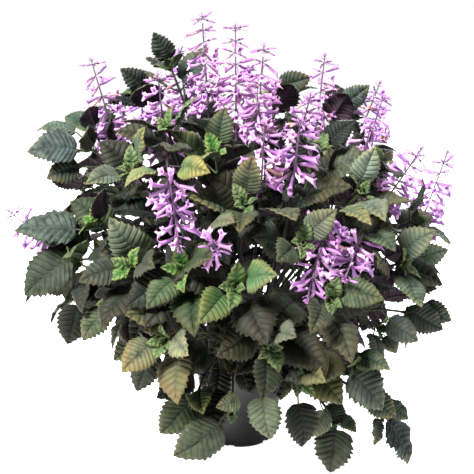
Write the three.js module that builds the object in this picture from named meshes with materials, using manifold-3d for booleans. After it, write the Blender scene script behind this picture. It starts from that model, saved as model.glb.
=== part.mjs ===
// A bushy flowering pot plant with velvety toothed leaves and spikes of tubular lavender flowers.
// It stands in a small plastic nursery pot. Millimetres, +Z up, origin at the middle of the pot's flat base.
//
// Square stems rise from plain holes in the soil, and their branches run on to the shoot tips.
// Each shoot carries crossed pairs of leaves, and a flowering shoot ends in a spike of whorled flowers.
// Leaves and flowers grow straight out of the flat faces of their branch or rachis. A leaf that would
// cross something already there turns, lifts or droops until it is clear.
import * as THREE from "three";
import { mergeVertices } from "three/addons/utils/BufferGeometryUtils.js";
import Module from "manifold-3d";

const wasm = await Module();
wasm.setup();

// Pot
const POT_HEIGHT = 126;
const POT_BASE_RADIUS = 52;
const POT_TOP_RADIUS = 66;
const RIM_RADIUS = 70;
const RIM_HEIGHT = 15;
const POT_WALL = 1.8;
const POT_FLOOR = 2.4;
const POT_SIDES = 20;
const DRAIN_HOLES = 6;
const DRAIN_WIDTH = 9;
const DRAIN_HEIGHT = 5;

// Soil
const SOIL_TOP = 110;
const SEAT_GAP = 0.35;
const ROOT_DEPTH = 42;

// Stems are square, with the radius measured to their corners
const STEM_RADIUS = 3.6;
const BRANCH_RADIUS = 2.3;
const STEM_SPREAD = 0.36; // how far out a stem's end is, as a share of the way to the middle of its tips
const STEM_RISE = 0.42;
const LOWEST_STEM_END = 186;
const BRANCH_SPACING = 0.13; // from one branch's foot to the next, as a share of the stem's length
const BRANCH_EASE = 0.34; // how much of a branch its last bend takes
const BRANCH_BOWS = [0, 16, -16, 32, -32, 48, -48]; // millimetres to one side, tried until it is clear
const BRANCH_CLEARANCE = 1.2;
const STRAIGHT_ENOUGH = 5; // millimetres a bare stretch may bend and still be drawn straight

// Leaves: lengths are shares of the blade's length unless they say millimetres
const BLADE_WIDTH = 0.8;
const BLADE_THICKNESS = 1.8; // millimetres at the rib, thinning to the toothed edge
const BLADE_ARCH = 0.1;
const BLADE_FOLD = 0.16;
const RIB_POINT = 0.45;
const PETIOLE_SHARE = 0.34;
const PETIOLE_RADIUS = 1.15; // millimetres
const NODE_HEIGHT = 2.4; // millimetres of stem that a pair of petioles or a whorl of flowers takes
const PAIR_STEPS = [1.2, 30, 62]; // millimetres back from the shoot's tip
const PAIR_SIZES = [0.74, 1.0, 1.06];
const CLEARANCE = 0.8; // millimetres that leaves and flowers keep from what is already there
const LOWEST_LEAF = 6; // millimetres above the surface the pot stands on

// One side of a blade, from the petiole to the last tooth: how far along, and how far out of its half width
const BLADE_SIDE = [
  [0.05, 0.72],
  [0.29, 1.0],
  [0.37, 0.84],
  [0.6, 0.74],
];

// The turns in degrees and the droops a leaf may take, tried in this order until it is clear
const LEAF_TURNS = [0, 16, -16, 32, -32, 48, -48];
const LEAF_DROOPS = [0, 0.35, -0.3];

// Flowers stand in whorls of three on a three sided rachis, each whorl turned half a step on the last
const RACHIS_RADIUS = 1.5;
const FLOWER_LENGTH = 26;
const MOUTH_RADIUS = 4.6;
const PEDUNCLE = 12;
const WHORL_STEP = 23;
const WHORL_FLOWERS = 3;
const FLOWER_DIP = 0.25;
const SPIKE_SWAY = 0.14; // how much a spike turns on, upwards if it rises and downwards if it hangs

// Each leafy stem: the shoots it carries. A shoot has its tip in millimetres, its rise above the
// horizontal and its veer from straight outwards in degrees, its leaf pairs, the length of its full
// leaves, the turn of its first pair in degrees, and the length of its flower spike if it has one. Leaves
// that stand out at the plant's outline come last, each by where its blade begins and ends, and the way
// its face looks if it isn't to the front.
const shoot = (tip, rise, veer, pairs, leaf, turn, spike = 0, shown = []) =>
  ({ tip, rise, veer, pairs, leaf, turn, spike, shown });

const FRONT_STEMS = [
  { // top, left of the middle
    hole: [-16, -8],
    shoots: [
      shoot([-41, -60, 476], 84, 0, 2, 56, 40, 128),
      shoot([-78, 62, 480], 80, 0, 2, 54, 0, 84),
      shoot([-95, 20, 537], 66, 0, 2, 58, 50, 0, [[[-98, 18, 553], [-118, 12, 588]]]),
      shoot([-90, -128, 440], 82, 0, 2, 58, 20, 96),
    ],
  },
  { // upper left
    hole: [-44, -2],
    shoots: [
      shoot([-158, -62, 436], 74, 0, 2, 56, 10, 118),
      shoot([-130, -20, 510], 58, 10, 2, 54, 50, 0, [
        [[-127, -24, 515], [-158, -30, 541], [-0.3, -1, 0.6]],
        [[-137, -26, 497], [-181, -32, 495], [-0.3, -1, 0.9]],
      ]),
      shoot([-186, -100, 443], 34, 0, 2, 54, 20, 0, [
        [[-205, -104, 444], [-265, -110, 442], [-0.2, -1, 1.7]],
        [[-204, -104, 422], [-244, -110, 409], [-0.2, -1, 1]],
      ]),
      shoot([-192, -60, 463], 62, 0, 2, 54, 20, 0, [[[-214, -66, 463], [-261, -72, 467], [-0.2, -1, 1.4]]]),
      shoot([-172, 46, 402], 76, 0, 2, 56, 30, 66),
    ],
  },
  { // left
    hole: [-46, -20],
    shoots: [
      shoot([-172, -150, 358], 42, 0, 2, 60, 60, 0, [
        [[-201, -150, 353], [-274, -156, 352], [-0.2, -1, 0.7]],
      ]),
      shoot([-240, -62, 300], 40, 0, 2, 66, 20, 88),
      shoot([-226, -70, 240], 8, 0, 2, 58, 60, 0, [[[-215, -100, 237], [-231, -106, 183]]]),
      shoot([-195, -160, 317], 0, 10, 2, 62, 40, 0, [[[-207, -162, 319], [-265, -168, 274]]]),
    ],
  },
  { // front left, high
    hole: [-24, -30],
    shoots: [
      shoot([-84, -170, 474], 60, 0, 2, 56, 35),
      shoot([-124, -186, 430], 42, 0, 2, 58, 60),
      shoot([-80, -222, 440], -58, 38, 1, 54, 10, 92),
      shoot([-40, -246, 372], -8, 30, 1, 54, 40, 46),
    ],
  },
  { // top middle
    hole: [4, -14],
    shoots: [
      shoot([-6, -84, 452], 84, 0, 2, 56, 15, 138),
      shoot([18, -108, 450], 84, 40, 1, 54, 60, 118),
      shoot([-30, -172, 446], 56, 0, 3, 58, 80),
      shoot([22, -200, 408], 74, 0, 2, 58, 30, 80),
    ],
  },
  { // top, right of the middle
    hole: [18, 12],
    shoots: [
      shoot([105, 20, 446], 84, 0, 2, 56, 30, 110),
      shoot([55, 30, 500], 66, 0, 2, 56, 70, 0, [[[56, 28, 514], [99, 22, 528]]]),
      shoot([142, 40, 481], 56, 0, 2, 58, 15, 0, [[[148, 38, 491], [181, 32, 517]]]),
      shoot([178, 16, 430], 74, 0, 2, 54, 45, 72),
    ],
  },
  { // upper right, towards the front
    hole: [28, -12],
    shoots: [
      shoot([70, -96, 446], 74, 20, 1, 52, 65, 66),
      shoot([92, -150, 446], 60, 0, 3, 60, 20),
      shoot([152, -82, 410], 78, 0, 1, 54, 25, 64),
      shoot([176, -104, 418], 42, 0, 3, 58, 60),
    ],
  },
  { // right
    hole: [46, -4],
    shoots: [
      shoot([172, -100, 362], 56, 0, 2, 58, 15, 100),
      shoot([246, -12, 306], 72, 0, 2, 58, 50, 126),
      shoot([224, -76, 346], 36, 0, 2, 60, 75),
      shoot([262, 24, 312], 22, 0, 2, 54, 20),
    ],
  },
  { // front right, high
    hole: [22, -22],
    shoots: [
      shoot([58, -200, 420], 74, 0, 2, 56, 75, 70),
      shoot([136, -182, 402], 40, 0, 3, 60, 70),
      shoot([102, -208, 396], -54, -56, 1, 54, 20, 112),
      shoot([138, -200, 360], -28, -60, 1, 54, 65, 70),
    ],
  },
  { // right, low
    hole: [42, -22],
    shoots: [
      shoot([217, -100, 297], 12, 0, 2, 54, 30, 0, [
        [[224, -104, 304], [266, -110, 317], [0.3, -1, 0.3]],
        [[209, -120, 263], [251, -126, 269], [0.2, -1, 0.8]],
      ]),
      shoot([186, -182, 318], 16, 0, 2, 62, 65),
      shoot([214, -106, 230], -6, 0, 2, 46, 10, 0, [
        [[221, -112, 233], [264, -118, 210], [0.2, -1, 0.8]],
        [[241, -104, 238], [277, -110, 219]],
      ]),
      shoot([165, -174, 237], -4, 0, 2, 52, 50, 0, [
        [[178, -178, 244], [216, -184, 221], [0.2, -1, 0.8]],
        [[176, -180, 227], [189, -186, 206]],
      ]),
    ],
  },
  { // front right, low
    hole: [28, -36],
    shoots: [
      shoot([96, -250, 300], 20, 0, 3, 62, 10),
      shoot([127, -220, 206], -14, 0, 2, 56, 60, 0, [[[129, -226, 198], [167, -232, 155]]]),
      shoot([180, -150, 112], -30, 0, 2, 46, 50, 0, [
        [[191, -150, 98], [222, -156, 37], [1, -0.9, 0.3]],
        [[165, -156, 135], [199, -162, 107]],
      ]),
      shoot([66, -246, 204], -8, 0, 2, 56, 75, 0, [[[66, -238, 166], [72, -244, 112], [0.4, -1, 0]]]),
    ],
  },
  { // front, low
    hole: [8, -44],
    shoots: [
      shoot([-6, -262, 316], 18, 0, 2, 62, 35),
      shoot([32, -262, 250], 0, 0, 2, 62, 70),
      shoot([66, -236, 356], 34, 0, 2, 58, 20),
      shoot([34, -240, 207], -16, 0, 2, 54, 45, 0, [
        [[24, -236, 173], [34, -242, 121], [0.2, -1, 0.1]],
      ]),
      shoot([114, -196, 123], -38, 0, 2, 36, 60, 0, [
        [[118, -200, 112], [110, -206, 56]],
        [[101, -204, 138], [78, -210, 106]],
      ]),
    ],
  },
  { // front left, low
    hole: [-12, -46],
    shoots: [
      shoot([-62, -252, 330], 30, 0, 3, 62, 55),
      shoot([-84, -248, 250], 4, 0, 2, 62, 25),
      shoot([4, -226, 398], 44, 0, 2, 58, 65),
      shoot([-52, -212, 167], -26, 0, 2, 54, 60, 0, [[[-59, -216, 163], [-98, -222, 117]]]),
      shoot([-11, -232, 154], -30, 0, 1, 34, 20, 0, [
        [[-27, -236, 138], [-81, -242, 100]],
        [[-2, -238, 171], [-30, -244, 165]],
      ]),
    ],
  },
  { // left, low
    hole: [-32, -34],
    shoots: [
      shoot([-122, -226, 326], 30, 0, 3, 62, 20),
      shoot([-151, -190, 276], 8, 0, 2, 60, 65),
      shoot([-109, -176, 223], -12, 0, 2, 58, 30, 0, [[[-109, -180, 206], [-128, -186, 156]]]),
    ],
  },
];

// The stems behind: one for each heading, in degrees from +X, with four shoots up the far side
const BACK_HEADINGS = [26, 58, 90, 122, 148];
const BACK_HOLE_RADIUS = 34;
const BACK_SHOOTS = [
  { height: 432, reach: 176, swing: -8, rise: 66, pairs: 2, spike: 92 },
  { height: 362, reach: 244, swing: 11, rise: 34, pairs: 3, spike: 0 },
  { height: 268, reach: 262, swing: -11, rise: 16, pairs: 2, spike: 0 },
  { height: 182, reach: 238, swing: 9, rise: -10, pairs: 2, spike: 0 },
];
const BACK_STAGGER = 44; // millimetres that every other stem's shoots are lower
const BACK_LEAF = 66;
const BACK_TURN = 37;

const UP = new THREE.Vector3(0, 0, 1);
const SIDE = new THREE.Vector3(1, 0, 0);
const FRONT = new THREE.Vector3(0, -1, 0.3).normalize();
const CROWN_CENTRE = new THREE.Vector3(0, 0, 240);
const radians = THREE.MathUtils.degToRad;
const vector = (x, y, z) => new THREE.Vector3(x, y, z);

// Solids

function solidOf(geometry) {
  const bare = geometry.clone();
  bare.deleteAttribute("normal");
  bare.deleteAttribute("uv");
  const merged = mergeVertices(bare, 1e-4);
  const mesh = new wasm.Mesh({
    numProp: 3,
    vertProperties: new Float32Array(merged.attributes.position.array),
    triVerts: new Uint32Array(merged.index.array),
  });
  return new wasm.Manifold(mesh);
}

function geometryOf(solid) {
  const { vertProperties, triVerts } = solid.getMesh();
  const geometry = new THREE.BufferGeometry();
  geometry.setAttribute("position", new THREE.BufferAttribute(vertProperties, 3));
  geometry.setIndex(new THREE.BufferAttribute(triVerts, 1));
  geometry.computeVertexNormals();
  return geometry;
}

const fuse = (solids) => solids.reduce((whole, piece) => whole.add(piece));

// Shells: a closed surface as points and triangles, built up loop by loop. A loop lists its points
// counterclockwise as seen from where the surface grows to

const newShell = () => ({ points: [], faces: [] });
const addLoop = (shell, loop) => loop.map((point) => shell.points.push(point) - 1);

function shellSolid({ points, faces }) {
  const geometry = new THREE.BufferGeometry();
  const position = new Float32Array(points.flatMap((point) => point.toArray()));
  geometry.setAttribute("position", new THREE.BufferAttribute(position, 3));
  geometry.setIndex(faces.flat());
  return solidOf(geometry);
}

const spanOf = (shell, a, b) => shell.points[a].distanceTo(shell.points[b]);

// Runs a band of faces from one loop to the next, each split along its shorter diagonal so that a band
// which turns isn't pinched. Where a sprout is given, it grows out of half a face
function bridge(shell, near, far, sprouts = []) {
  near.forEach((b, face) => {
    const last = (face + near.length - 1) % near.length;
    const [a, c, d] = [near[last], far[face], far[last]];
    if (sprouts[face]) {
      shell.faces.push([a, c, d]);
      sprouts[face](shell, [a, b, c]);
    } else if (spanOf(shell, a, c) <= spanOf(shell, b, d)) {
      shell.faces.push([a, c, d], [a, b, c]);
    } else {
      shell.faces.push([a, b, d], [b, c, d]);
    }
  });
}

// Bridges to a loop that may start at any of its points, from the one that keeps the band straightest
function bridgeStraight(shell, near, far) {
  const turns = far.map((_, i) => [...far.slice(i), ...far.slice(0, i)]);
  const spans = turns.map((turn) => turn.reduce((sum, point, i) => sum + spanOf(shell, point, near[i]), 0));
  bridge(shell, near, turns[spans.indexOf(Math.min(...spans))]);
}

// Caps a loop with a fan, facing the way the surface grew, or backwards at its start
function cap(shell, loop, backwards = false) {
  for (let i = 2; i < loop.length; i += 1) {
    const face = [loop[0], loop[i - 1], loop[i]];
    shell.faces.push(backwards ? face.reverse() : face);
  }
}

// The directions across a stem: sideways follows a level reference, crossways is square to both
function acrossStem(way, level) {
  const sideways = level.clone().addScaledVector(way, -level.dot(way)).normalize();
  return [sideways, way.clone().cross(sideways)];
}

const around = ([sideways, crossways], angle) =>
  sideways.clone().multiplyScalar(Math.cos(angle)).addScaledVector(crossways, Math.sin(angle));

// A section of a stem at a station: its corners, placed so that face 0 looks along its turn
function section({ point, way, level, sides, radius, turn = 0 }) {
  const directions = acrossStem(way, level);
  return Array.from({ length: sides }, (_, i) =>
    point.clone().addScaledVector(around(directions, turn + ((i + 0.5) * 2 * Math.PI) / sides), radius),
  );
}

const stationAt = (curve, share) => ({ point: curve.getPointAt(share), way: curve.getTangentAt(share) });

// A stem through its stations, with the sprouts that grow from the band before each station. Its form
// may change on the way, as where a branch runs on from its stem
function stemShell(stations, form) {
  const shell = newShell();
  const loops = stations.map((station) => addLoop(shell, section({ ...form, ...station })));
  cap(shell, loops[0], true);
  stations.slice(1).forEach((station, i) => {
    const join = station.newForm ? bridgeStraight : bridge;
    join(shell, loops[i], loops[i + 1], station.sprouts);
  });
  cap(shell, loops.at(-1));
  return shellSolid(shell);
}

// Stems

const stemForm = { level: SIDE, sides: 4, radius: STEM_RADIUS };

// A stem bends from its hole towards the middle of its shoot tips, and ends clear above the pot's rim
function stemCurve({ hole: [x, y], shoots }) {
  const end = vector(0, 0, 0);
  shoots.forEach(({ tip }) => end.add(vector(...tip).divideScalar(shoots.length)));
  end.set(end.x * STEM_SPREAD, end.y * STEM_SPREAD, SOIL_TOP + (end.z - SOIL_TOP) * STEM_RISE);
  end.z = Math.max(LOWEST_STEM_END, end.z);
  const start = vector(x, y, SOIL_TOP + 3);
  return new THREE.QuadraticBezierCurve3(start, vector(x, y, SOIL_TOP + (end.z - SOIL_TOP) * 0.6), end);
}

function stemStations({ hole: [x, y], curve }) {
  const root = { point: vector(x, y, SOIL_TOP - ROOT_DEPTH), way: UP };
  return [root, ...[0, 0.5, 1].map((share) => stationAt(curve, share))];
}

const stemHole = ([x, y]) => {
  const width = STEM_RADIUS * Math.SQRT2 + 2 * SEAT_GAP;
  const hole = new THREE.BoxGeometry(width, width, ROOT_DEPTH + SEAT_GAP + 20);
  return solidOf(hole.translate(x, y, SOIL_TOP + (20 - ROOT_DEPTH - SEAT_GAP) / 2));
};

// A shoot's heading, and the level direction square to it
function aim(plan) {
  const azimuth = Math.atan2(plan.tip[1], plan.tip[0]) + radians(plan.veer);
  const flat = Math.cos(radians(plan.rise));
  plan.heading = vector(flat * Math.cos(azimuth), flat * Math.sin(azimuth), Math.sin(radians(plan.rise)));
  plan.level = vector(-Math.sin(azimuth), Math.cos(azimuth), 0);
}

function branchCurve(start, plan, bow) {
  const tip = vector(...plan.tip);
  const control = tip.clone().addScaledVector(plan.heading, -BRANCH_EASE * start.distanceTo(tip));
  const sideways = tip.clone().sub(start).cross(UP).normalize();
  return new THREE.QuadraticBezierCurve3(start, control.addScaledVector(sideways, bow), tip);
}

const branchForm = (plan, extra = 0) => ({
  level: plan.level,
  sides: 4,
  radius: BRANCH_RADIUS + extra,
  turn: radians(plan.turn),
});

const plainBranch = (plan, extra) =>
  stemShell([stationAt(plan.curve, 0), ...leafyStations({ ...plan, leaves: [] })], branchForm(plan, extra));

// A branch's stations past its foot: one eases a bent stretch, and two bound each pair of petioles
function leafyStations({ curve, pairs, leaves }) {
  const length = curve.getLength();
  const at = (distance, sprouts) => ({ ...stationAt(curve, 1 - distance / length), sprouts });
  const [foot, ease, end] = [at(length), at((length + PAIR_STEPS[pairs - 1]) / 2), at(PAIR_STEPS[pairs - 1])];
  const bend = ease.point.distanceTo(foot.point.clone().add(end.point).divideScalar(2));
  const stations = bend > STRAIGHT_ENOUGH ? [ease] : [];
  for (let pair = pairs - 1; pair >= 0; pair -= 1) {
    const sprouts = [];
    leaves.filter((leaf) => leaf.pair === pair).forEach((leaf) => {
      sprouts[leaf.face] = (shell, root) => bridgeStraight(shell, root, addBlade(shell, leaf.place));
    });
    const centre = PAIR_STEPS[pair];
    if (sprouts.length > 0) stations.push(at(centre + NODE_HEIGHT / 2), at(centre - NODE_HEIGHT / 2, sprouts));
    else stations.push(at(centre - PAIR_STEPS[0]));
  }
  return stations;
}

// A stem runs on into its first branch, and the others are joined to its side
function leafyStem(stem) {
  const [first, ...others] = stem.shoots;
  const [join, ...onwards] = leafyStations(first).map((station) => ({ ...branchForm(first), ...station }));
  const leader = stemShell([...stemStations(stem), { ...join, newForm: true }, ...onwards], stemForm);
  const branches = others.map((plan) =>
    stemShell([stationAt(plan.curve, 0), ...leafyStations(plan)], branchForm(plan)),
  );
  return fuse([leader, ...branches]);
}

// Leaves

// Height of a blade over its chord: it arches along its length and its halves fold up from the rib
const bladeHeight = (across, along, length) =>
  length * BLADE_ARCH * 4 * along * (1 - along) + BLADE_FOLD * Math.abs(across);

const collarAt = (middle, { across, facing }, radius) =>
  [[1, 0.5], [0, -1], [-1, 0.5]].map(([x, z]) =>
    middle.clone().addScaledVector(across, x * radius).addScaledVector(facing, z * radius),
  );

// Adds a blade, and returns the collar of three points that its petiole runs to
function addBlade(shell, leaf, extra = 0) {
  const { base, across, along, facing, length } = leaf;
  const halfWidth = (length * BLADE_WIDTH) / 2 + extra;
  const at = (x, y, lift = 0) =>
    base
      .clone()
      .addScaledVector(across, x)
      .addScaledVector(along, y * length)
      .addScaledVector(facing, bladeHeight(x, y, length) + lift);
  const side = (sign) => BLADE_SIDE.map(([y, x]) => at(sign * x * halfWidth, y));
  const rib = BLADE_THICKNESS / 2 + extra;
  const collar = addLoop(shell, collarAt(base, leaf, PETIOLE_RADIUS + extra));
  const [right, keel, left] = collar;
  const [ribTop, ribKeel] = addLoop(shell, [at(0, RIB_POINT, rib), at(0, RIB_POINT, -rib)]);
  const outline = addLoop(shell, [...side(1), at(0, 1 + extra / length), ...side(-1).reverse()]);
  const edge = [right, ...outline, left];
  shell.faces.push([ribTop, left, right], [keel, ribKeel, right], [keel, left, ribKeel]);
  edge.slice(1).forEach((next, i) => {
    shell.faces.push([ribTop, edge[i], next], [ribKeel, next, edge[i]]);
  });
  return collar;
}

// The petiole and blade on their own, and the blade alone, to see whether they are clear
function leafSolid(leaf, extra = 0) {
  const shell = newShell();
  const root = addLoop(shell, collarAt(leaf.root, leaf, BRANCH_RADIUS * Math.SQRT1_2 + extra));
  cap(shell, root, true);
  bridge(shell, root, addBlade(shell, leaf, extra));
  return shellSolid(shell);
}

function bladeSolid(leaf, extra) {
  const shell = newShell();
  cap(shell, addBlade(shell, leaf, extra), true);
  return shellSolid(shell);
}

// The root of a leaf's petiole on its side of the branch, and that side's direction
function leafRoot({ curve, level, turn }, pair, face) {
  const { point, way } = stationAt(curve, 1 - PAIR_STEPS[pair] / curve.getLength());
  const side = around(acrossStem(way, level), radians(turn + 90 * face));
  return { root: point.clone().addScaledVector(side, BRANCH_RADIUS * Math.SQRT1_2), side };
}

// A leaf shown at the outline turns its face to the front, and takes the free side that looks towards it
function shownPlace(plan, [from, to, look]) {
  const base = vector(...from);
  const along = vector(...to).sub(base);
  const length = along.length();
  along.normalize();
  const facing = look ? vector(...look) : FRONT.clone();
  facing.addScaledVector(along, -facing.dot(along)).normalize();
  const isFree = ({ pair, face }) => !plan.leaves.some((leaf) => leaf.pair === pair && leaf.face === face);
  const sides = PAIR_STEPS.slice(0, plan.pairs)
    .flatMap((_, pair) => [{ pair, face: pair % 2 }, { pair, face: (pair % 2) + 2 }])
    .filter(isFree)
    .map(({ pair, face }) => {
      const { root, side } = leafRoot(plan, pair, face);
      return { pair, face, root, nearness: side.dot(base.clone().sub(root).normalize()) };
    });
  const { pair, face, root } = sides.reduce((best, other) => (other.nearness > best.nearness ? other : best));
  const place = { root, base, across: along.clone().cross(facing), along, facing, length };
  return { pair, face, place };
}

// Where a leaf goes: its petiole leaves the branch at a pair's side, and its blade hangs over outwards
function leafPlace({ curve, level }, pair, size, angle, yaw, droop) {
  const { point, way } = stationAt(curve, 1 - PAIR_STEPS[pair] / curve.getLength());
  const outwards = point.clone().sub(CROWN_CENTRE).normalize();
  const directions = acrossStem(way, level);
  const root = point.clone().addScaledVector(around(directions, angle), BRANCH_RADIUS * Math.SQRT1_2);
  const petioleWay = around(directions, angle + yaw).multiplyScalar(0.86).addScaledVector(way, 0.42);
  petioleWay.addScaledVector(UP, 0.12).normalize();
  const base = root.clone().addScaledVector(petioleWay, size * PETIOLE_SHARE);
  const along = petioleWay.clone().addScaledVector(outwards, 0.45).addScaledVector(UP, -droop).normalize();
  const facing = outwards.clone().addScaledVector(UP, 0.5);
  facing.addScaledVector(along, -facing.dot(along)).normalize();
  return { root, base, across: along.clone().cross(facing), along, facing, length: size };
}

function leafChoices(plan, pair, face) {
  const size = plan.leaf * PAIR_SIZES[pair];
  const droop = 0.3 + 0.9 * Math.max(0, 1 - plan.tip[2] / 430);
  const angle = radians(plan.turn + 90 * face);
  return LEAF_DROOPS.flatMap((more) =>
    LEAF_TURNS.map((turn) => leafPlace(plan, pair, size, angle, radians(turn), droop + more)),
  );
}

// Flowers

const rachisForm = ({ level }) => ({ level, sides: WHORL_FLOWERS, radius: RACHIS_RADIUS });

function rachisCurve({ tip, heading, spike }) {
  const foot = vector(...tip).addScaledVector(heading, SEAT_GAP);
  const sway = heading.z < 0 ? -SPIKE_SWAY : SPIKE_SWAY;
  const onwards = heading.clone().addScaledVector(UP, sway).normalize();
  const control = foot.clone().addScaledVector(heading, spike / 2);
  return new THREE.QuadraticBezierCurve3(foot, control, control.clone().addScaledVector(onwards, spike / 2));
}

// A flower is a three sided trumpet that widens from the rachis to its mouth, and dips
function addMouth(shell, { root, way, length }, extra = 0) {
  const mouth = root.clone().addScaledVector(way, length + extra);
  const directions = acrossStem(way, way.clone().cross(UP));
  const loop = [90, 210, 330].map((angle) =>
    mouth.clone().addScaledVector(around(directions, radians(angle)), MOUTH_RADIUS + extra),
  );
  const mouthLoop = addLoop(shell, loop);
  cap(shell, mouthLoop);
  return mouthLoop;
}

function flowerSolid(flower, extra = 0) {
  const shell = newShell();
  const mouth = addMouth(shell, flower, extra);
  const root = addLoop(shell, mouth.map((i) => shell.points[i].clone().sub(flower.root)));
  root.forEach((i) => {
    shell.points[i].addScaledVector(flower.way, -flower.length).multiplyScalar(0.25).add(flower.root);
  });
  cap(shell, root, true);
  bridge(shell, root, mouth);
  return shellSolid(shell);
}

// The whorls of a spike: where each stands on the rachis, and its flowers by the face they grow from
function spikeWhorls({ rachis, level }) {
  const length = rachis.getLength();
  const count = Math.floor((length - PEDUNCLE - 4) / WHORL_STEP) + 1;
  return Array.from({ length: count }, (_, i) => {
    const distance = PEDUNCLE + i * WHORL_STEP;
    const share = distance / length;
    const { point, way } = stationAt(rachis, share);
    const directions = acrossStem(way, level);
    const turn = (i * Math.PI) / WHORL_FLOWERS;
    const flowers = Array.from({ length: WHORL_FLOWERS }, (__, face) => {
      const flowerWay = around(directions, turn + (face * 2 * Math.PI) / WHORL_FLOWERS);
      flowerWay.addScaledVector(UP, -FLOWER_DIP).normalize();
      return { root: point, way: flowerWay, length: FLOWER_LENGTH * (1 - 0.35 * share) };
    });
    return { distance, turn, flowers };
  });
}

function spikeSolid(plan) {
  const length = plan.rachis.getLength();
  const at = (distance, rest) => ({ ...stationAt(plan.rachis, distance / length), ...rest });
  const stations = [at(0)];
  plan.whorls.forEach(({ distance, turn, flowers }) => {
    const sprouts = flowers.map(
      (flower) => flower && ((shell, root) => bridgeStraight(shell, root, addMouth(shell, flower))),
    );
    stations.push(at(distance - NODE_HEIGHT / 2, { turn }), at(distance + NODE_HEIGHT / 2, { turn, sprouts }));
  });
  stations.push(at(length, { turn: plan.whorls.at(-1).turn }));
  return stemShell(stations, rachisForm(plan));
}

// Pot and soil

function turned(profile) {
  const points = profile.map(([radius, height]) => new THREE.Vector2(radius, height));
  const lathe = new THREE.LatheGeometry([...points, points[0]], POT_SIDES);
  return solidOf(lathe.rotateX(Math.PI / 2));
}

function potSolid() {
  const rimFoot = POT_HEIGHT - RIM_HEIGHT;
  const body = turned([
    [0, 0],
    [POT_BASE_RADIUS - 1.5, 0],
    [POT_BASE_RADIUS, 1.5],
    [POT_TOP_RADIUS, rimFoot],
    [RIM_RADIUS, rimFoot],
    [RIM_RADIUS, POT_HEIGHT],
    [RIM_RADIUS - POT_WALL, POT_HEIGHT],
    [POT_TOP_RADIUS - POT_WALL, rimFoot],
    [POT_BASE_RADIUS - POT_WALL, POT_FLOOR],
    [0, POT_FLOOR],
  ]);
  const drains = Array.from({ length: DRAIN_HOLES }, (_, i) => {
    const notch = new THREE.BoxGeometry(DRAIN_WIDTH, DRAIN_WIDTH, 2 * DRAIN_HEIGHT);
    notch.translate(POT_BASE_RADIUS, 0, 0);
    notch.rotateZ(((i + 0.25) * 2 * Math.PI) / DRAIN_HOLES);
    return solidOf(notch);
  });
  return drains.reduce((pot, notch) => pot.subtract(notch), body);
}

function soilSolid(holes) {
  const insideAt = (height) => {
    const share = (height - POT_FLOOR) / (POT_HEIGHT - RIM_HEIGHT - POT_FLOOR);
    return POT_BASE_RADIUS + (POT_TOP_RADIUS - POT_BASE_RADIUS) * share - POT_WALL - SEAT_GAP;
  };
  const bottom = POT_FLOOR + SEAT_GAP;
  const plug = turned([
    [0, bottom],
    [insideAt(bottom), bottom],
    [insideAt(SOIL_TOP), SOIL_TOP],
    [0, SOIL_TOP],
  ]);
  return holes.reduce((soil, hole) => soil.subtract(stemHole(hole)), plug);
}

// The stems behind follow a rule
function backStems() {
  return BACK_HEADINGS.map((heading, i) => {
    const way = radians(heading);
    const shoots = BACK_SHOOTS.map(({ height, reach, swing, rise, pairs, spike }, j) => {
      const azimuth = radians(heading + swing);
      const lift = -BACK_STAGGER * (i % 2);
      const tip = [reach * Math.cos(azimuth), reach * Math.sin(azimuth), height + lift];
      return shoot(tip, rise, 0, pairs, BACK_LEAF, BACK_TURN * (i + j), spike);
    });
    return { hole: [BACK_HOLE_RADIUS * Math.cos(way), BACK_HOLE_RADIUS * Math.sin(way)], shoots };
  });
}

// Setting the plant down piece by piece, each clear of what is there

const placed = [];

function setDown(solid, node, branch) {
  placed.push({ solid, node, branch, box: solid.boundingBox() });
  return solid;
}

const boxesMeet = (a, b) => [0, 1, 2].every((i) => a.min[i] <= b.max[i] && b.min[i] <= a.max[i]);

function isClear(solid, isObstacle) {
  const box = solid.boundingBox();
  return placed
    .filter((other) => isObstacle(other) && boxesMeet(box, other.box))
    .every((other) => solid.intersect(other.solid).isEmpty());
}

const numbered = (name, i) => `${name}_${String(i + 1).padStart(2, "0")}`;
const stems = [...FRONT_STEMS, ...backStems()];
const pot = setDown(potSolid(), "pot");
const soil = setDown(soilSolid(stems.map((stem) => stem.hole)), "soil");

stems.forEach((stem, i) => {
  stem.name = numbered("leafy_stem", i);
  stem.curve = stemCurve(stem);
  setDown(stemShell(stemStations(stem), stemForm), stem.name, stem.name);
});

stems.forEach((stem) => {
  stem.shoots.forEach((plan, j) => {
    aim(plan);
    plan.branch = `${stem.name} branch ${j + 1}`;
    plan.leaves = [];
    const start = stem.curve.getPointAt(1 - BRANCH_SPACING * j);
    const curves = BRANCH_BOWS.map((bow) => branchCurve(start, plan, bow));
    const clear = (curve) =>
      isClear(plainBranch({ ...plan, curve }, BRANCH_CLEARANCE), (other) => other.node !== stem.name);
    plan.curve = curves.find(clear) ?? curves[0];
    setDown(plainBranch(plan, 0), stem.name, plan.branch);
  });
});

const shoots = stems.flatMap((stem) => stem.shoots.map((plan) => Object.assign(plan, { node: stem.name })));
const flowering = shoots.filter((plan) => plan.spike > 0);
flowering.forEach((plan, i) => {
  plan.spikeNode = numbered("flower_spike", i);
  plan.rachis = rachisCurve(plan);
  const stations = [0, 0.5, 1].map((share) => stationAt(plan.rachis, share));
  const roundRachis = { ...rachisForm(plan), sides: 6, radius: 1.17 * RACHIS_RADIUS }; // holds all its turns
  setDown(stemShell(stations, roundRachis), plan.spikeNode, plan.spikeNode);
});
flowering.forEach((plan) => {
  plan.whorls = spikeWhorls(plan);
  plan.whorls.forEach(({ flowers }) => {
    flowers.forEach((flower, face) => {
      const isFree = isClear(flowerSolid(flower, CLEARANCE), (other) => other.node !== plan.spikeNode);
      if (isFree) setDown(flowerSolid(flower), plan.spikeNode);
      else flowers[face] = null;
    });
  });
});

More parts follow.
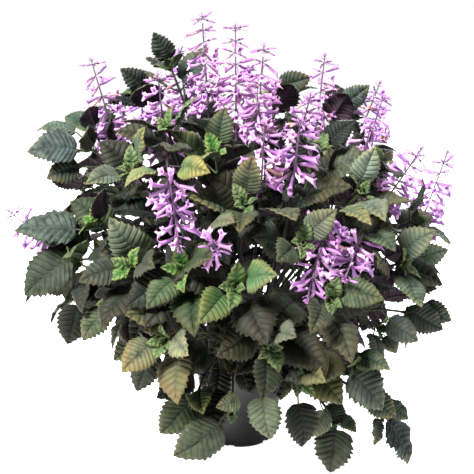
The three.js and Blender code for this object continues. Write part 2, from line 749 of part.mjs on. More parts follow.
function leafFits(plan, place) {
  const whole = leafSolid(place, CLEARANCE);
  return (
    whole.boundingBox().min[2] > LOWEST_LEAF &&
    isClear(whole, (other) => other.branch !== plan.branch) &&
    isClear(bladeSolid(place, CLEARANCE), (other) => other.branch === plan.branch)
  );
}

function setLeaf(plan, leaf) {
  plan.leaves.push(leaf);
  setDown(leafSolid(leaf.place), plan.node);
}

// The leaves shown at the outline go down first
shoots.forEach((plan) => {
  plan.shown.forEach((ends) => {
    const leaf = shownPlace(plan, ends);
    if (leafFits(plan, leaf.place)) setLeaf(plan, leaf);
  });
});

// The others go down pair by pair, from the shoot tips inwards. One that finds no clear place is left out
PAIR_STEPS.forEach((_, pair) => {
  shoots.filter((plan) => pair < plan.pairs).forEach((plan) => {
    for (const face of [pair % 2, (pair % 2) + 2]) {
      if (plan.leaves.some((leaf) => leaf.pair === pair && leaf.face === face)) continue;
      const place = leafChoices(plan, pair, face).find((choice) => leafFits(plan, choice));
      if (place) setLeaf(plan, { pair, face, place });
    }
  });
});

// Scene

const finishes = {
  pot: new THREE.MeshStandardMaterial({ name: "pot plastic", color: 0x3a3638, roughness: 0.45 }),
  soil: new THREE.MeshStandardMaterial({ name: "potting soil", color: 0x2a201a, roughness: 1 }),
  leaf: new THREE.MeshStandardMaterial({ name: "velvet leaf", color: 0x5c6a50, roughness: 0.8 }),
  flower: new THREE.MeshStandardMaterial({ name: "lavender petal", color: 0xcf8ae8, roughness: 0.6 }),
};

function meshOf(name, solid, material) {
  const mesh = new THREE.Mesh(geometryOf(solid), material);
  mesh.name = name;
  return mesh;
}

const holder = new THREE.Group();
holder.add(meshOf("pot", pot, finishes.pot), meshOf("soil", soil, finishes.soil));

const foliage = new THREE.Group();
stems.forEach((stem) => foliage.add(meshOf(stem.name, leafyStem(stem), finishes.leaf)));

const blooms = new THREE.Group();
flowering.forEach((plan) => blooms.add(meshOf(plan.spikeNode, spikeSolid(plan), finishes.flower)));

const plant = new THREE.Group();
plant.add(holder, foliage, blooms);

export default plant;
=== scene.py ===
# A bushy flowering pot plant with velvety toothed leaves and spikes of tubular lavender flowers, in a
# small dark plastic nursery pot. The growth rule is worked in millimetres, meshes are made in metres.
import math
import random
from functools import partial

import bpy
import numpy as np
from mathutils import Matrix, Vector, kdtree, noise


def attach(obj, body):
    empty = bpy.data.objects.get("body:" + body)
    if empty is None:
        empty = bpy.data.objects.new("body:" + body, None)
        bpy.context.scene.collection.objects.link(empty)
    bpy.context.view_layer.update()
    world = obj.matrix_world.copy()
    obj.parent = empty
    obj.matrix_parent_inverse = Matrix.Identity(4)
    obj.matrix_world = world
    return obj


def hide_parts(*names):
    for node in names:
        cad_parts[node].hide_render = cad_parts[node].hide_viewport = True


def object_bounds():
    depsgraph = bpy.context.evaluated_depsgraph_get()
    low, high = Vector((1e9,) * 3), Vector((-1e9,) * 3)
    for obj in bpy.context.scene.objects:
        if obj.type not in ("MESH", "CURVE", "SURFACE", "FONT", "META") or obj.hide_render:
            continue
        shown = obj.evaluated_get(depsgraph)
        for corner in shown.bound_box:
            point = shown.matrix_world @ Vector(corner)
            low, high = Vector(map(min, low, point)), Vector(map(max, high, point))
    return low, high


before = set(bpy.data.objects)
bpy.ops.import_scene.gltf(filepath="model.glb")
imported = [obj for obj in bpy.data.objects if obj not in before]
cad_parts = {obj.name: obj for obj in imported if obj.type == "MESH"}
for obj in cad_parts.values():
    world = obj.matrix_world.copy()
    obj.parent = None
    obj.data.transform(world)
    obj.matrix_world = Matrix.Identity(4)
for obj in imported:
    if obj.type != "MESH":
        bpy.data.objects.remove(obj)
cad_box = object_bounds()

MM = 0.001
UP = np.array([0.0, 0.0, 1.0])
HALF_ROOT = math.sqrt(0.5)

# Pot and soil, in millimetres
POT_HEIGHT = 126
POT_BASE_RADIUS = 52
POT_TOP_RADIUS = 66
RIM_RADIUS = 70
RIM_HEIGHT = 15
POT_WALL = 1.8
POT_FLOOR = 2.4
DRAIN_HOLES = 6
DRAIN_WIDTH = 9
DRAIN_HEIGHT = 5
SOIL_TOP = 110
ROOT_DEPTH = 42

# The growth rule that the solids follow, in millimetres and shares of a length
STEM_RADIUS = 3.6
STEM_END_RADIUS = 2.7
ROOT_RADIUS = STEM_RADIUS * 1.05
STEM_FOOT = 3  # above the soil
STEM_SPREAD = 0.36
STEM_RISE = 0.42
STEM_BEND = 0.6
LOWEST_STEM_END = 186
BRANCH_RADIUS = 2.3
BRANCH_SPACING = 0.13
BRANCH_EASE = 0.34
BRANCH_BOWS = [0, 16, -16, 32, -32, 48, -48]
NODE_HEIGHT = 2.4
PAIR_STEPS = [1.2, 30, 62]
PAIR_SIZES = [0.74, 1.0, 1.06]
PETIOLE_SHARE = 0.34
PETIOLE_OUT = 0.86
PETIOLE_ALONG = 0.42
PETIOLE_RISE = 0.12
BLADE_OUT = 0.45
BLADE_LOOK_UP = 0.5
BLADE_WIDTH = 0.8
BLADE_ARCH = 0.4
BLADE_FOLD = 0.16
LEAF_TURNS = [0, 16, -16, 32, -32, 48, -48]
LEAF_DROOPS = [0, 0.35, -0.3]
DROOP = 0.3
LOW_DROOP = 0.9  # what is added to the droop at the ground, fading to none at DROOP_HEIGHT
DROOP_HEIGHT = 430
FLOWER_LENGTH = 26
PEDUNCLE = 12
FLOWER_DIP = 0.25
SPIKE_SWAY = 0.14
SEAT_GAP = 0.35
CROWN_CENTRE = np.array([0.0, 0.0, 240.0])
OUTLINE_FACING = (0, -1, 0.3)

# How the solid leaves are found: the corners on each side of a blade (height and share of its width),
# how near a corner has to be to the place the rule gives, and how many of the nine are enough
LEAF_SPOTS = [(0.05, 0.72), (0.29, 1.0), (0.37, 0.84), (0.6, 0.74)]
FOUND_WITHIN = 0.2
ENOUGH_FOUND = 5

# What the solids leave out and the eye sees: leaves further down the branches, and more flowers
INNER_STEPS = [96, 134, 172]
INNER_SIZES = [0.98, 0.92, 0.84]
GAP_LEAF = 0.6  # the size of a leaf that fills a place where the solids have none
GAP_SHIFT = 3  # and how much further from the tip it starts
INNER_MARGIN = 14  # a branch has to be this much longer than the step of its inner leaves
LOWEST_POINT = 8
TIP_CLEAR = 12  # the end of a branch that isn't marked as taken, for the leaves that start there
WHORL_STEP = 7.8  # at the foot of a spike; towards its tip the whorls stand up to twice as far apart
WHORL_FLOWERS = 6
FALLEN = 0.08  # the share of flowers that have dropped
STRAY_BUDS = 0.08
NUDGES = (0, 0.25, -0.25, 0.5)  # the turns in radians that a flower tries, to stand clear of the leaves
OPEN_SHARE = 0.8  # how far up a spike the flowers are open
FLOWER_SIZE, TIP_SHRINK = 1.16, 0.2  # of a flower at a spike's foot, and how much smaller at its tip
TIP_LEAN = 0.25  # how much more flowers at the tip point on along the spike
WILTED = 0.04

# Space is marked as taken in cells, in millimetres. Shade is found by looking out through them from a
# place to the crown's outside, which is about an ellipsoid, and is painted into the leaves as painted shade
CELL = 2.6
CROWN_MIDDLE = np.array([0.0, 0.0, 290.0])
CROWN_HALF = np.array([280.0, 270.0, 250.0])
SHADE_REACH = np.arange(14, 110, 3)
SHADE_LEANS = [1.6, 0.6]
SHADE_FROM = 0.56  # the share of ways that are blocked where shade begins
SHADE_RANGE = 0.4

# Where on the front of the plant leaves are younger, more tan, more blue-grey or darkened like painted
# shade:
# x, z, reach and strength. Nothing further back than FRONT_END counts as the front
FRONT_END = 60
FRESH_SPOTS = [
    (-118, 300, 34, 0.9), (-52, 300, 44, 1.0), (-44, 330, 40, 0.7), (92, 180, 40, 0.9),
    (-200, 345, 40, 0.8), (-176, 360, 40, 0.8), (-40, 460, 60, 0.6), (-34, 196, 40, 1.0),
    (-18, 220, 46, 1.0), (20, 350, 50, 0.5),
]
RUST_SPOTS = [
    (-10, 262, 70, 1.0), (100, 212, 60, 1.0), (-100, 240, 70, 0.9), (-20, 430, 70, 0.9),
    (130, 250, 60, 0.9), (-60, 170, 50, 0.4), (110, 400, 60, 0.6), (-120, 440, 50, 0.5),
]
SLATE_SPOTS = [
    (150, 190, 80, 0.8), (200, 240, 90, 0.7), (170, 110, 70, 0.9), (40, 190, 50, 0.7), (-210, 450, 90, 0.5),
    (206, 67, 70, 1.0), (230, 200, 80, 0.6),
]
# Spots where leaves are darkened towards black, the same way as the painted shade deep in the crown
DARK_SPOTS = [
    (-108, 572, 40, 1.6), (45, 530, 30, 1.0), (120, 500, 50, 1.4), (30, 560, 30, 1.0), (70, 500, 40, 1.0),
    (-240, 352, 70, 0.5), (-236, 297, 60, 0.3), (-235, 445, 70, 0.5), (-222, 210, 60, 0.4),
    (150, 60, 120, 0.4), (-54, 119, 60, 0.6), (114, 84, 60, 0.8), (20, 190, 60, 0.5), (60, 150, 50, 0.5),
]

# Each leafy stem has its hole, and its shoots: the tip, the rise, the veer, the leaf pairs, the leaf
# length, the turn of the first pair, and the length of the flower spike. Leaves that stand out at the
# plant's outline come last, each by where its blade begins and ends, and the way its face looks if it
# isn't to the front
FRONT_STEMS = [
    ((-16, -8), [  # top, left of the middle
        ((-41, -60, 476), 84, 0, 2, 56, 40, 128),
        ((-78, 62, 480), 80, 0, 2, 54, 0, 84),
        ((-95, 20, 537), 66, 0, 2, 58, 50, 0, [((-98, 18, 553), (-118, 12, 588))]),
        ((-90, -128, 440), 82, 0, 2, 58, 20, 96),
    ]),
    ((-44, -2), [  # upper left
        ((-158, -62, 436), 74, 0, 2, 56, 10, 118),
        ((-130, -20, 510), 58, 10, 2, 54, 50, 0, [
            ((-127, -24, 515), (-158, -30, 541), (-0.3, -1, 0.6)),
            ((-137, -26, 497), (-181, -32, 495), (-0.3, -1, 0.9)),
        ]),
        ((-186, -100, 443), 34, 0, 2, 54, 20, 0, [
            ((-205, -104, 444), (-265, -110, 442), (-0.2, -1, 1.7)),
            ((-204, -104, 422), (-244, -110, 409), (-0.2, -1, 1)),
        ]),
        ((-192, -60, 463), 62, 0, 2, 54, 20, 0, [((-214, -66, 463), (-261, -72, 467), (-0.2, -1, 1.4))]),
        ((-172, 46, 402), 76, 0, 2, 56, 30, 66),
    ]),
    ((-46, -20), [  # left
        ((-172, -150, 358), 42, 0, 2, 60, 60, 0, [
            ((-201, -150, 353), (-274, -156, 352), (-0.2, -1, 0.7)),
        ]),
        ((-240, -62, 300), 40, 0, 2, 66, 20, 88),
        ((-226, -70, 240), 8, 0, 2, 58, 60, 0, [((-215, -100, 237), (-231, -106, 183))]),
        ((-195, -160, 317), 0, 10, 2, 62, 40, 0, [((-207, -162, 319), (-265, -168, 274))]),
    ]),
    ((-24, -30), [  # front left, high
        ((-84, -170, 474), 60, 0, 2, 56, 35, 0),
        ((-124, -186, 430), 42, 0, 2, 58, 60, 0),
        ((-80, -222, 440), -58, 38, 1, 54, 10, 92),
        ((-40, -246, 372), -8, 30, 1, 54, 40, 46),
    ]),
    ((4, -14), [  # top middle
        ((-6, -84, 452), 84, 0, 2, 56, 15, 138),
        ((18, -108, 450), 84, 40, 1, 54, 60, 118),
        ((-30, -172, 446), 56, 0, 3, 58, 80, 0),
        ((22, -200, 408), 74, 0, 2, 58, 30, 80),
    ]),
    ((18, 12), [  # top, right of the middle
        ((105, 20, 446), 84, 0, 2, 56, 30, 110),
        ((55, 30, 500), 66, 0, 2, 56, 70, 0, [((56, 28, 514), (99, 22, 528))]),
        ((142, 40, 481), 56, 0, 2, 58, 15, 0, [((148, 38, 491), (181, 32, 517))]),
        ((178, 16, 430), 74, 0, 2, 54, 45, 72),
    ]),
    ((28, -12), [  # upper right, towards the front
        ((70, -96, 446), 74, 20, 1, 52, 65, 66),
        ((92, -150, 446), 60, 0, 3, 60, 20, 0),
        ((152, -82, 410), 78, 0, 1, 54, 25, 64),
        ((176, -104, 418), 42, 0, 3, 58, 60, 0),
    ]),
    ((46, -4), [  # right
        ((172, -100, 362), 56, 0, 2, 58, 15, 100),
        ((246, -12, 306), 72, 0, 2, 58, 50, 126),
        ((224, -76, 346), 36, 0, 2, 60, 75, 0),
        ((262, 24, 312), 22, 0, 2, 54, 20, 0),
    ]),
    ((22, -22), [  # front right, high
        ((58, -200, 420), 74, 0, 2, 56, 75, 70),
        ((136, -182, 402), 40, 0, 3, 60, 70, 0),
        ((102, -208, 396), -54, -56, 1, 54, 20, 112),
        ((138, -200, 360), -28, -60, 1, 54, 65, 70),
    ]),
    ((42, -22), [  # right, low
        ((217, -100, 297), 12, 0, 2, 54, 30, 0, [
            ((224, -104, 304), (266, -110, 317), (0.3, -1, 0.3)),
            ((209, -120, 263), (251, -126, 269), (0.2, -1, 0.8)),
        ]),
        ((186, -182, 318), 16, 0, 2, 62, 65, 0),
        ((214, -106, 230), -6, 0, 2, 46, 10, 0, [
            ((221, -112, 233), (264, -118, 210), (0.2, -1, 0.8)),
            ((241, -104, 238), (277, -110, 219)),
        ]),
        ((165, -174, 237), -4, 0, 2, 52, 50, 0, [
            ((178, -178, 244), (216, -184, 221), (0.2, -1, 0.8)),
            ((176, -180, 227), (189, -186, 206)),
        ]),
    ]),
    ((28, -36), [  # front right, low
        ((96, -250, 300), 20, 0, 3, 62, 10, 0),
        ((127, -220, 206), -14, 0, 2, 56, 60, 0, [((129, -226, 198), (167, -232, 155))]),
        ((180, -150, 112), -30, 0, 2, 46, 50, 0, [
            ((191, -150, 98), (222, -156, 37), (1, -0.9, 0.3)),
            ((165, -156, 135), (199, -162, 107)),
        ]),
        ((66, -246, 204), -8, 0, 2, 56, 75, 0, [((66, -238, 166), (72, -244, 112), (0.4, -1, 0))]),
    ]),
    ((8, -44), [  # front, low
        ((-6, -262, 316), 18, 0, 2, 62, 35, 0),
        ((32, -262, 250), 0, 0, 2, 62, 70, 0),
        ((66, -236, 356), 34, 0, 2, 58, 20, 0),
        ((34, -240, 207), -16, 0, 2, 54, 45, 0, [
            ((24, -236, 173), (34, -242, 121), (0.2, -1, 0.1)),
        ]),
        ((114, -196, 123), -38, 0, 2, 36, 60, 0, [
            ((118, -200, 112), (110, -206, 56)),
            ((101, -204, 138), (78, -210, 106)),
        ]),
    ]),
    ((-12, -46), [  # front left, low
        ((-62, -252, 330), 30, 0, 3, 62, 55, 0),
        ((-84, -248, 250), 4, 0, 2, 62, 25, 0),
        ((4, -226, 398), 44, 0, 2, 58, 65, 0),
        ((-52, -212, 167), -26, 0, 2, 54, 60, 0, [((-59, -216, 163), (-98, -222, 117))]),
        ((-11, -232, 154), -30, 0, 1, 34, 20, 0, [
            ((-27, -236, 138), (-81, -242, 100)),
            ((-2, -238, 171), (-30, -244, 165)),
        ]),
    ]),
    ((-32, -34), [  # left, low
        ((-122, -226, 326), 30, 0, 3, 62, 20, 0),
        ((-151, -190, 276), 8, 0, 2, 60, 65, 0),
        ((-109, -176, 223), -12, 0, 2, 58, 30, 0, [((-109, -180, 206), (-128, -186, 156))]),
    ]),
]

# The stems behind follow a rule: a heading each, and four shoots up the far side
BACK_HEADINGS = [26, 58, 90, 122, 148]
BACK_HOLE_RADIUS = 34
BACK_SHOOTS = [
    (432, 176, -8, 66, 2, 92),
    (362, 244, 11, 34, 3, 0),
    (268, 262, -11, 16, 2, 0),
    (182, 238, 9, -10, 2, 0),
]
BACK_STAGGER = 44
BACK_LEAF = 66
BACK_TURN = 37

chance = random.Random(7)


# Directions and curves

def unit(v):
    return v / np.linalg.norm(v)


def vec(*parts):
    return np.array(parts, float)


class Bend:
    """A quadratic curve measured along its length, as the solids measure it."""

    def __init__(self, start, control, end):
        self.corners = [np.asarray(p, float) for p in (start, control, end)]
        self.steps = np.linspace(0, 1, 201)
        points = np.array([self.at(t) for t in self.steps])
        hops = np.linalg.norm(np.diff(points, axis=0), axis=1)
        self.reach = np.concatenate([[0], np.cumsum(hops)])
        self.length = self.reach[-1]

    def at(self, t):
        a, b, c = self.corners
        return (1 - t) ** 2 * a + 2 * t * (1 - t) * b + t * t * c

    def station(self, share):
        t = np.interp(share * self.length, self.reach, self.steps)
        a, b, c = self.corners
        return self.at(t), unit((1 - t) * (b - a) + t * (c - b))


def across_stem(way, level):
    sideways = unit(level - (level @ way) * way)
    return sideways, np.cross(way, sideways)


def around(directions, angle):
    return directions[0] * math.cos(angle) + directions[1] * math.sin(angle)


# Where the solids grow

class Solid:
    """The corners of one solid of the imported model, to be looked up by place."""

    def __init__(self, name):
        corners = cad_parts[name].data.vertices
        self.tree = kdtree.KDTree(len(corners))
        for i, corner in enumerate(corners):
            self.tree.insert(corner.co / MM, i)
        self.tree.balance()

    def count(self, points):
        return sum(self.tree.find(Vector(p))[2] < FOUND_WITHIN for p in points)


class Shoot:
    def __init__(self, tip, rise, veer, pairs, leaf, turn, spike, outline=()):
        self.tip, self.rise, self.pairs, self.leaf, self.outline = vec(*tip), rise, pairs, leaf, outline
        self.turn, self.spike = math.radians(turn), spike
        azimuth = math.atan2(tip[1], tip[0]) + math.radians(veer)
        flat = math.cos(math.radians(rise))
        lift = math.sin(math.radians(rise))
        self.heading = vec(flat * math.cos(azimuth), flat * math.sin(azimuth), lift)
        self.level = vec(-math.sin(azimuth), math.cos(azimuth), 0)
        self.leaves = []

    def branch(self, start, bow):
        control = self.tip - self.heading * BRANCH_EASE * np.linalg.norm(start - self.tip)
        sideways = unit(np.cross(self.tip - start, UP))
        return Bend(start, control + sideways * bow, self.tip)

    def free_faces(self):
        """The pairs and the faces of the branch where no leaf has been found yet."""
        taken = [(leaf["pair"], leaf["face"]) for leaf in self.leaves]
        faces = [(pair, face) for pair in range(self.pairs) for face in (pair % 2, pair % 2 + 2)]
        return [row for row in faces if row not in taken]

    def ring(self, curve, distance):
        point, way = curve.station(1 - distance / curve.length)
        directions = across_stem(way, self.level)
        turns = [self.turn + (i + 0.5) * math.pi / 2 for i in range(4)]
        return [point + around(directions, a) * BRANCH_RADIUS for a in turns]


def all_stems():
    stems = [(vec(*hole, 0), [Shoot(*row) for row in rows]) for hole, rows in FRONT_STEMS]
    for i, heading in enumerate(BACK_HEADINGS):
        way = math.radians(heading)
        shoots = []
        for j, (height, reach, swing, rise, pairs, spike) in enumerate(BACK_SHOOTS):
            azimuth = math.radians(heading + swing)
            tip = (reach * math.cos(azimuth), reach * math.sin(azimuth), height - BACK_STAGGER * (i % 2))
            shoots.append(Shoot(tip, rise, 0, pairs, BACK_LEAF, BACK_TURN * (i + j), spike))
        hole = vec(BACK_HOLE_RADIUS * math.cos(way), BACK_HOLE_RADIUS * math.sin(way), 0)
        stems.append((hole, shoots))
    return stems


def stem_curve(hole, shoots):
    end = sum(shoot.tip for shoot in shoots) / len(shoots)
    rise = SOIL_TOP + (end[2] - SOIL_TOP) * STEM_RISE
    end = vec(end[0] * STEM_SPREAD, end[1] * STEM_SPREAD, max(LOWEST_STEM_END, rise))
    control = vec(hole[0], hole[1], SOIL_TOP + (end[2] - SOIL_TOP) * STEM_BEND)
    return Bend(vec(hole[0], hole[1], SOIL_TOP + STEM_FOOT), control, end)


def leaf_place(curve, level, distance, size, angle, yaw, droop):
    point, way = curve.station(1 - distance / curve.length)
    outwards = unit(point - CROWN_CENTRE)
    directions = across_stem(way, level)
    root = point + around(directions, angle) * BRANCH_RADIUS * HALF_ROOT
    petiole_way = unit(
        around(directions, angle + yaw) * PETIOLE_OUT + way * PETIOLE_ALONG + UP * PETIOLE_RISE)
    base = root + petiole_way * size * PETIOLE_SHARE
    along = unit(petiole_way + outwards * BLADE_OUT - UP * droop)
    facing = outwards + UP * BLADE_LOOK_UP
    facing = unit(facing - (facing @ along) * along)
    return dict(root=root, base=base, across=np.cross(along, facing), along=along, facing=facing,
                length=size, start=petiole_way)


def outline_place(shoot, base, tip, look=OUTLINE_FACING):
    """A leaf known from the plant's outline, on the free side of its branch that looks towards it."""
    base = vec(*base)
    length = np.linalg.norm(vec(*tip) - base)
    along = (vec(*tip) - base) / length
    facing = unit(vec(*look) - (vec(*look) @ along) * along)
    sides = []
    for pair, face in shoot.free_faces():
        point, way = shoot.curve.station(1 - PAIR_STEPS[pair] / shoot.curve.length)
        side = around(across_stem(way, shoot.level), shoot.turn + face * math.pi / 2)
        root = point + side * BRANCH_RADIUS * HALF_ROOT
        sides.append((side @ unit(base - root), pair, face, root, side))
    _, pair, face, root, side = max(sides, key=lambda row: row[0])
    return dict(root=root, base=base, across=np.cross(along, facing), along=along, facing=facing,
                length=length, start=unit(side + unit(base - root)), pair=pair, face=face)


def leaf_spots(place):
    """The corners that a leaf's solid has on its outline: the tip, and four on each side."""
    length = place["length"]
    half = length * BLADE_WIDTH / 2
    spots = [(0, 1)] + [(side * x * half, y) for y, x in LEAF_SPOTS for side in (1, -1)]
    return [
        place["base"] + place["across"] * x + place["along"] * y * length
        + place["facing"] * (length * BLADE_ARCH * y * (1 - y) + BLADE_FOLD * abs(x))
        for x, y in spots
    ]


def leaf_choices(shoot, distance, size, face):
    droop = DROOP + LOW_DROOP * max(0, 1 - shoot.tip[2] / DROOP_HEIGHT)
    angle = shoot.turn + face * math.pi / 2
    return [
        leaf_place(shoot.curve, shoot.level, distance, size, angle, math.radians(turn), droop + more)
        for more in LEAF_DROOPS for turn in LEAF_TURNS
    ]


def grow(stems):
    """Follows each shoot as its solid grew: the bow of its branch, and the leaves that found a place."""
    for number, (hole, shoots) in enumerate(stems, 1):
        solid = Solid(f"leafy_stem_{number:02d}")
        curve = stem_curve(hole, shoots)
        for j, shoot in enumerate(shoots):
            start = curve.station(1 - BRANCH_SPACING * j)[0]
            bends = [shoot.branch(start, bow) for bow in BRANCH_BOWS]
            halves = (-NODE_HEIGHT / 2, NODE_HEIGHT / 2)
            steps = [step + half for step in PAIR_STEPS[:shoot.pairs] for half in halves]
            found = [solid.count([p for s in steps for p in shoot.ring(bend, s)]) for bend in bends]
            shoot.curve = bends[int(np.argmax(found))]
            for known in shoot.outline:
                place = outline_place(shoot, *known)
                if solid.count(leaf_spots(place)) >= ENOUGH_FOUND:
                    shoot.leaves.append(place)
            for pair, face in shoot.free_faces():
                choices = leaf_choices(shoot, PAIR_STEPS[pair], shoot.leaf * PAIR_SIZES[pair], face)
                counts = [solid.count(leaf_spots(choice)) for choice in choices]
                best = int(np.argmax(counts))
                if counts[best] >= ENOUGH_FOUND:
                    shoot.leaves.append(dict(choices[best], pair=pair, face=face))
        yield hole, curve, shoots


stems = list(grow(all_stems()))
shoots = [shoot for _, _, some in stems for shoot in some]
spikes = [shoot for shoot in shoots if shoot.spike]


# Small helpers for modelling

def deselect():
    for thing in bpy.context.selected_objects:
        thing.select_set(False)


def only(thing):
    deselect()
    thing.select_set(True)
    bpy.context.view_layer.objects.active = thing


def added(name):
    """The primitive that was just added, named, with its place in its mesh."""
    thing = bpy.context.object
    thing.name = name
    thing.data.name = name
    only(thing)
    bpy.ops.object.transform_apply(location=True, rotation=True, scale=True)
    return thing


def apply_modifiers(thing):
    only(thing)
    for modifier in list(thing.modifiers):
        bpy.ops.object.modifier_apply(modifier=modifier.name)


def cleaned(thing, within=0, outwards=True):
    """Merges points that lie within a distance in metres, and turns faces outwards."""
    only(thing)
    bpy.ops.object.mode_set(mode="EDIT")
    bpy.ops.mesh.select_all(action="SELECT")
    if within:
        bpy.ops.mesh.remove_doubles(threshold=within)
    if outwards:
        bpy.ops.mesh.normals_make_consistent(inside=False)
    bpy.ops.object.mode_set(mode="OBJECT")
    return thing


def positions(mesh):
    co = np.empty(len(mesh.vertices) * 3)
    mesh.vertices.foreach_get("co", co)
    return co.reshape(-1, 3)


def set_positions(mesh, co):
    mesh.vertices.foreach_set("co", np.asarray(co, np.float32).ravel())
    mesh.update()


def set_points(mesh, name, values):
    """A colour for every point of a mesh, which its material reads."""
    attribute = mesh.attributes.get(name) or mesh.attributes.new(name, "FLOAT_COLOR", "POINT")
    rows = np.ones((len(mesh.vertices), 4), np.float32)
    rows[:, :3] = values
    attribute.data.foreach_set("color", rows.ravel())


def joined(name, things):
    deselect()
    for thing in things:
        thing.select_set(True)
    bpy.context.view_layer.objects.active = things[0]
    bpy.ops.object.join()
    whole = bpy.context.object
    whole.name = name
    whole.data.name = name
    return whole


def linked(name, data):
    thing = bpy.data.objects.new(name, data)
    bpy.context.scene.collection.objects.link(thing)
    return thing


def rolled_grid(name, columns, rows, shape):
    """A tube from a grid: shape(column share, row number) places each point, and the seam is merged."""
    deselect()
    bpy.ops.mesh.primitive_grid_add(x_subdivisions=columns, y_subdivisions=rows, size=1)
    tube = added(name)
    co = positions(tube.data)
    place = [shape((x + 0.5), round((y + 0.5) * rows)) for x, y, _ in co]
    set_positions(tube.data, place)
    return cleaned(tube, 1e-5)


# Materials. Patterns are measured in millimetres on the real thing

SMOOTH = {"interpolation_type": "SMOOTHSTEP"}
COLOURS = {"data_type": "RGBA"}  # a Mix node's colour inputs are 6 and 7


def linear(hex_colour):
    """An sRGB hex colour as the linear one that a shader takes."""
    parts = [int(hex_colour[i:i + 2], 16) / 255 for i in (1, 3, 5)]
    return [c / 12.92 if c <= 0.04045 else ((c + 0.055) / 1.055) ** 2.4 for c in parts] + [1]


def fill(tree, made, inputs):
    """Sets or links a node's inputs: each is a value, a hex colour, a socket, or a node, which stands for
    its first output in use."""
    for key, value in inputs.items():
        if isinstance(value, bpy.types.Node):
            value = next(socket for socket in value.outputs if socket.enabled)
        if isinstance(value, bpy.types.NodeSocket):
            tree.links.new(value, made.inputs[key])
        else:
            made.inputs[key].default_value = linear(value) if isinstance(value, str) else value


def node(tree, kind, inputs=None, **settings):
    """Adds a node with its settings and links."""
    made = tree.nodes.new("ShaderNode" + kind)
    for key, value in settings.items():
        setattr(made, key, value)
    fill(tree, made, inputs or {})
    return made


def coated(material, inputs):
    """Gives a material's shader some of its inputs."""
    fill(material.node_tree, material.node_tree.nodes["Principled BSDF"], inputs)
    return material


def new_material(name, **shader):
    """A material named for its finish, the function that adds a node to it, and where patterns lie."""
    material = bpy.data.materials.new(name)
    material.use_nodes = True
    tree = material.node_tree
    coated(material, {key.replace("_", " "): value for key, value in shader.items()})
    add = partial(node, tree)
    return material, add, add("TexCoord").outputs["Object"]


def marks_on(add, *names):
    """The three numbers that each of a mesh's colours carries."""
    return [add("SeparateColor", {0: add("Attribute", attribute_name=name)}).outputs for name in names]


def lumps(size):
    """The scale of a noise whose lumps are about size millimetres across."""
    return 0.5 / (size * MM)


def coat(add, skin, *layers):
    """Lays colours over a skin, one after another: each with where it lies and how much of it."""
    for where, share, colour in layers:
        amount = add("Math", {0: where, 1: share}, operation="MULTIPLY")
        skin = add("Mix", {0: amount, 6: skin, 7: colour}, **COLOURS)
    return skin


def finished(material, add, skin, height, depth, strength):
    """Gives a material its colour and its relief, which is depth millimetres deep."""
    relief = add("Bump", {"Height": height, "Distance": depth * MM, "Strength": strength})
    return coated(material, {"Base Color": skin, "Normal": relief})


def velvet_leaf():
    """Living leaf blade, upper side: short soft hairs over green skin, which give a pale bloom at grazing
    angles. Veins are sunk and darkened with painted shade, old leaves turn tan and bronze, young ones are
    bright green, and leaves deep in the crown are darkened towards black with painted shade."""
    material, add, place = new_material(
        "velvet_leaf_blade", Roughness=0.6, IOR=1.4, Specular_IOR_Level=0.22, Sheen_Weight=0.07,
        Sheen_Roughness=0.4, Sheen_Tint="#C9D6CB")
    (vein, edge, along), (tone, youth, rust), (depth, bloom, _) = marks_on(
        add, "leaf_map", "leaf_mood", "leaf_painted_shade_age_and_bloom")
    patches = add("TexNoise", {"Vector": place, "Scale": lumps(16), "Detail": 3})
    mottle = add("TexNoise", {"Vector": place, "Scale": lumps(4), "Detail": 4, "Roughness": 0.6})
    mottle = add("MapRange", {0: mottle, 1: 0.3, 2: 0.7}, **SMOOTH)
    slate = coat(add, "#222D2B", (mottle, 1, "#495953"))
    skin = coat(add, "#2B3122", (mottle, 1, "#585D43"), (tone, 1, slate))

    # Tan comes in patches, from the tip and the margin inwards
    rusty = 0.0
    for part, share in ((along, 0.75), (edge, 0.35), (patches, 1.1), (rust, 0.6)):
        rusty = add("Math", {0: part, 1: share, 2: rusty}, operation="MULTIPLY_ADD")
    rusty = add("MapRange", {0: rusty, 1: 1.25, 2: 1.95}, **SMOOTH)
    tan = coat(add, "#7C683A", (add("MapRange", {0: patches, 1: 0.4, 2: 0.62}, **SMOOTH), 1, "#6A683F"))

    # Young leaves are greenest at the foot and palest at the margin
    fresh = coat(add, "#235B03", (add("MapRange", {0: edge, 1: 0.3, 2: 1}, **SMOOTH), 1, "#5E7026"))
    foot = add("Math", {0: along, 1: -0.6, 2: 1}, operation="MULTIPLY_ADD")
    young = add("Math", {0: youth, 1: foot}, operation="MULTIPLY")

    # The finest net of veins leaves fields 1.7 mm across
    cells = add("TexVoronoi", {"Vector": place, "Scale": 1 / (1.7 * MM)}, feature="DISTANCE_TO_EDGE")
    net = add("MapRange", {0: cells, 1: 0, 2: 0.3}, **SMOOTH)
    lines = add("Math", {0: 1, 1: net}, operation="SUBTRACT")
    # The side veins' dark colour on this side is painted shade in their sunk grooves
    side_veins = add("Math", {0: vein, 1: 5}, operation="POWER")
    # The first number of the painted shade and age mark darkens leaves towards black: painted shade deep in
    # the crown, plus random age
    skin = coat(
        add, skin, (rusty, 0.85, tan), (bloom, 1, "#90947F"), (young, 1, fresh),
        (side_veins, 0.4, "#10160E"), (depth, 0.93, "#050604"), (lines, 0.07, "#20291A"))

    # Hairs are finer than they show, so their grain is drawn half a millimetre wide
    hairs = add("TexNoise", {"Vector": place, "Scale": lumps(0.5), "Detail": 2})
    height = add("Math", {0: net, 1: 0.12}, operation="MULTIPLY")
    height = add("Math", {0: hairs, 1: 0.2, 2: height}, operation="MULTIPLY_ADD")
    groove = add("MapRange", {0: vein, 1: 0.35, 2: 1}, **SMOOTH)
    height = add("Math", {0: height, 1: groove}, operation="SUBTRACT")
    return finished(material, add, skin, height, 1.1, 0.8)


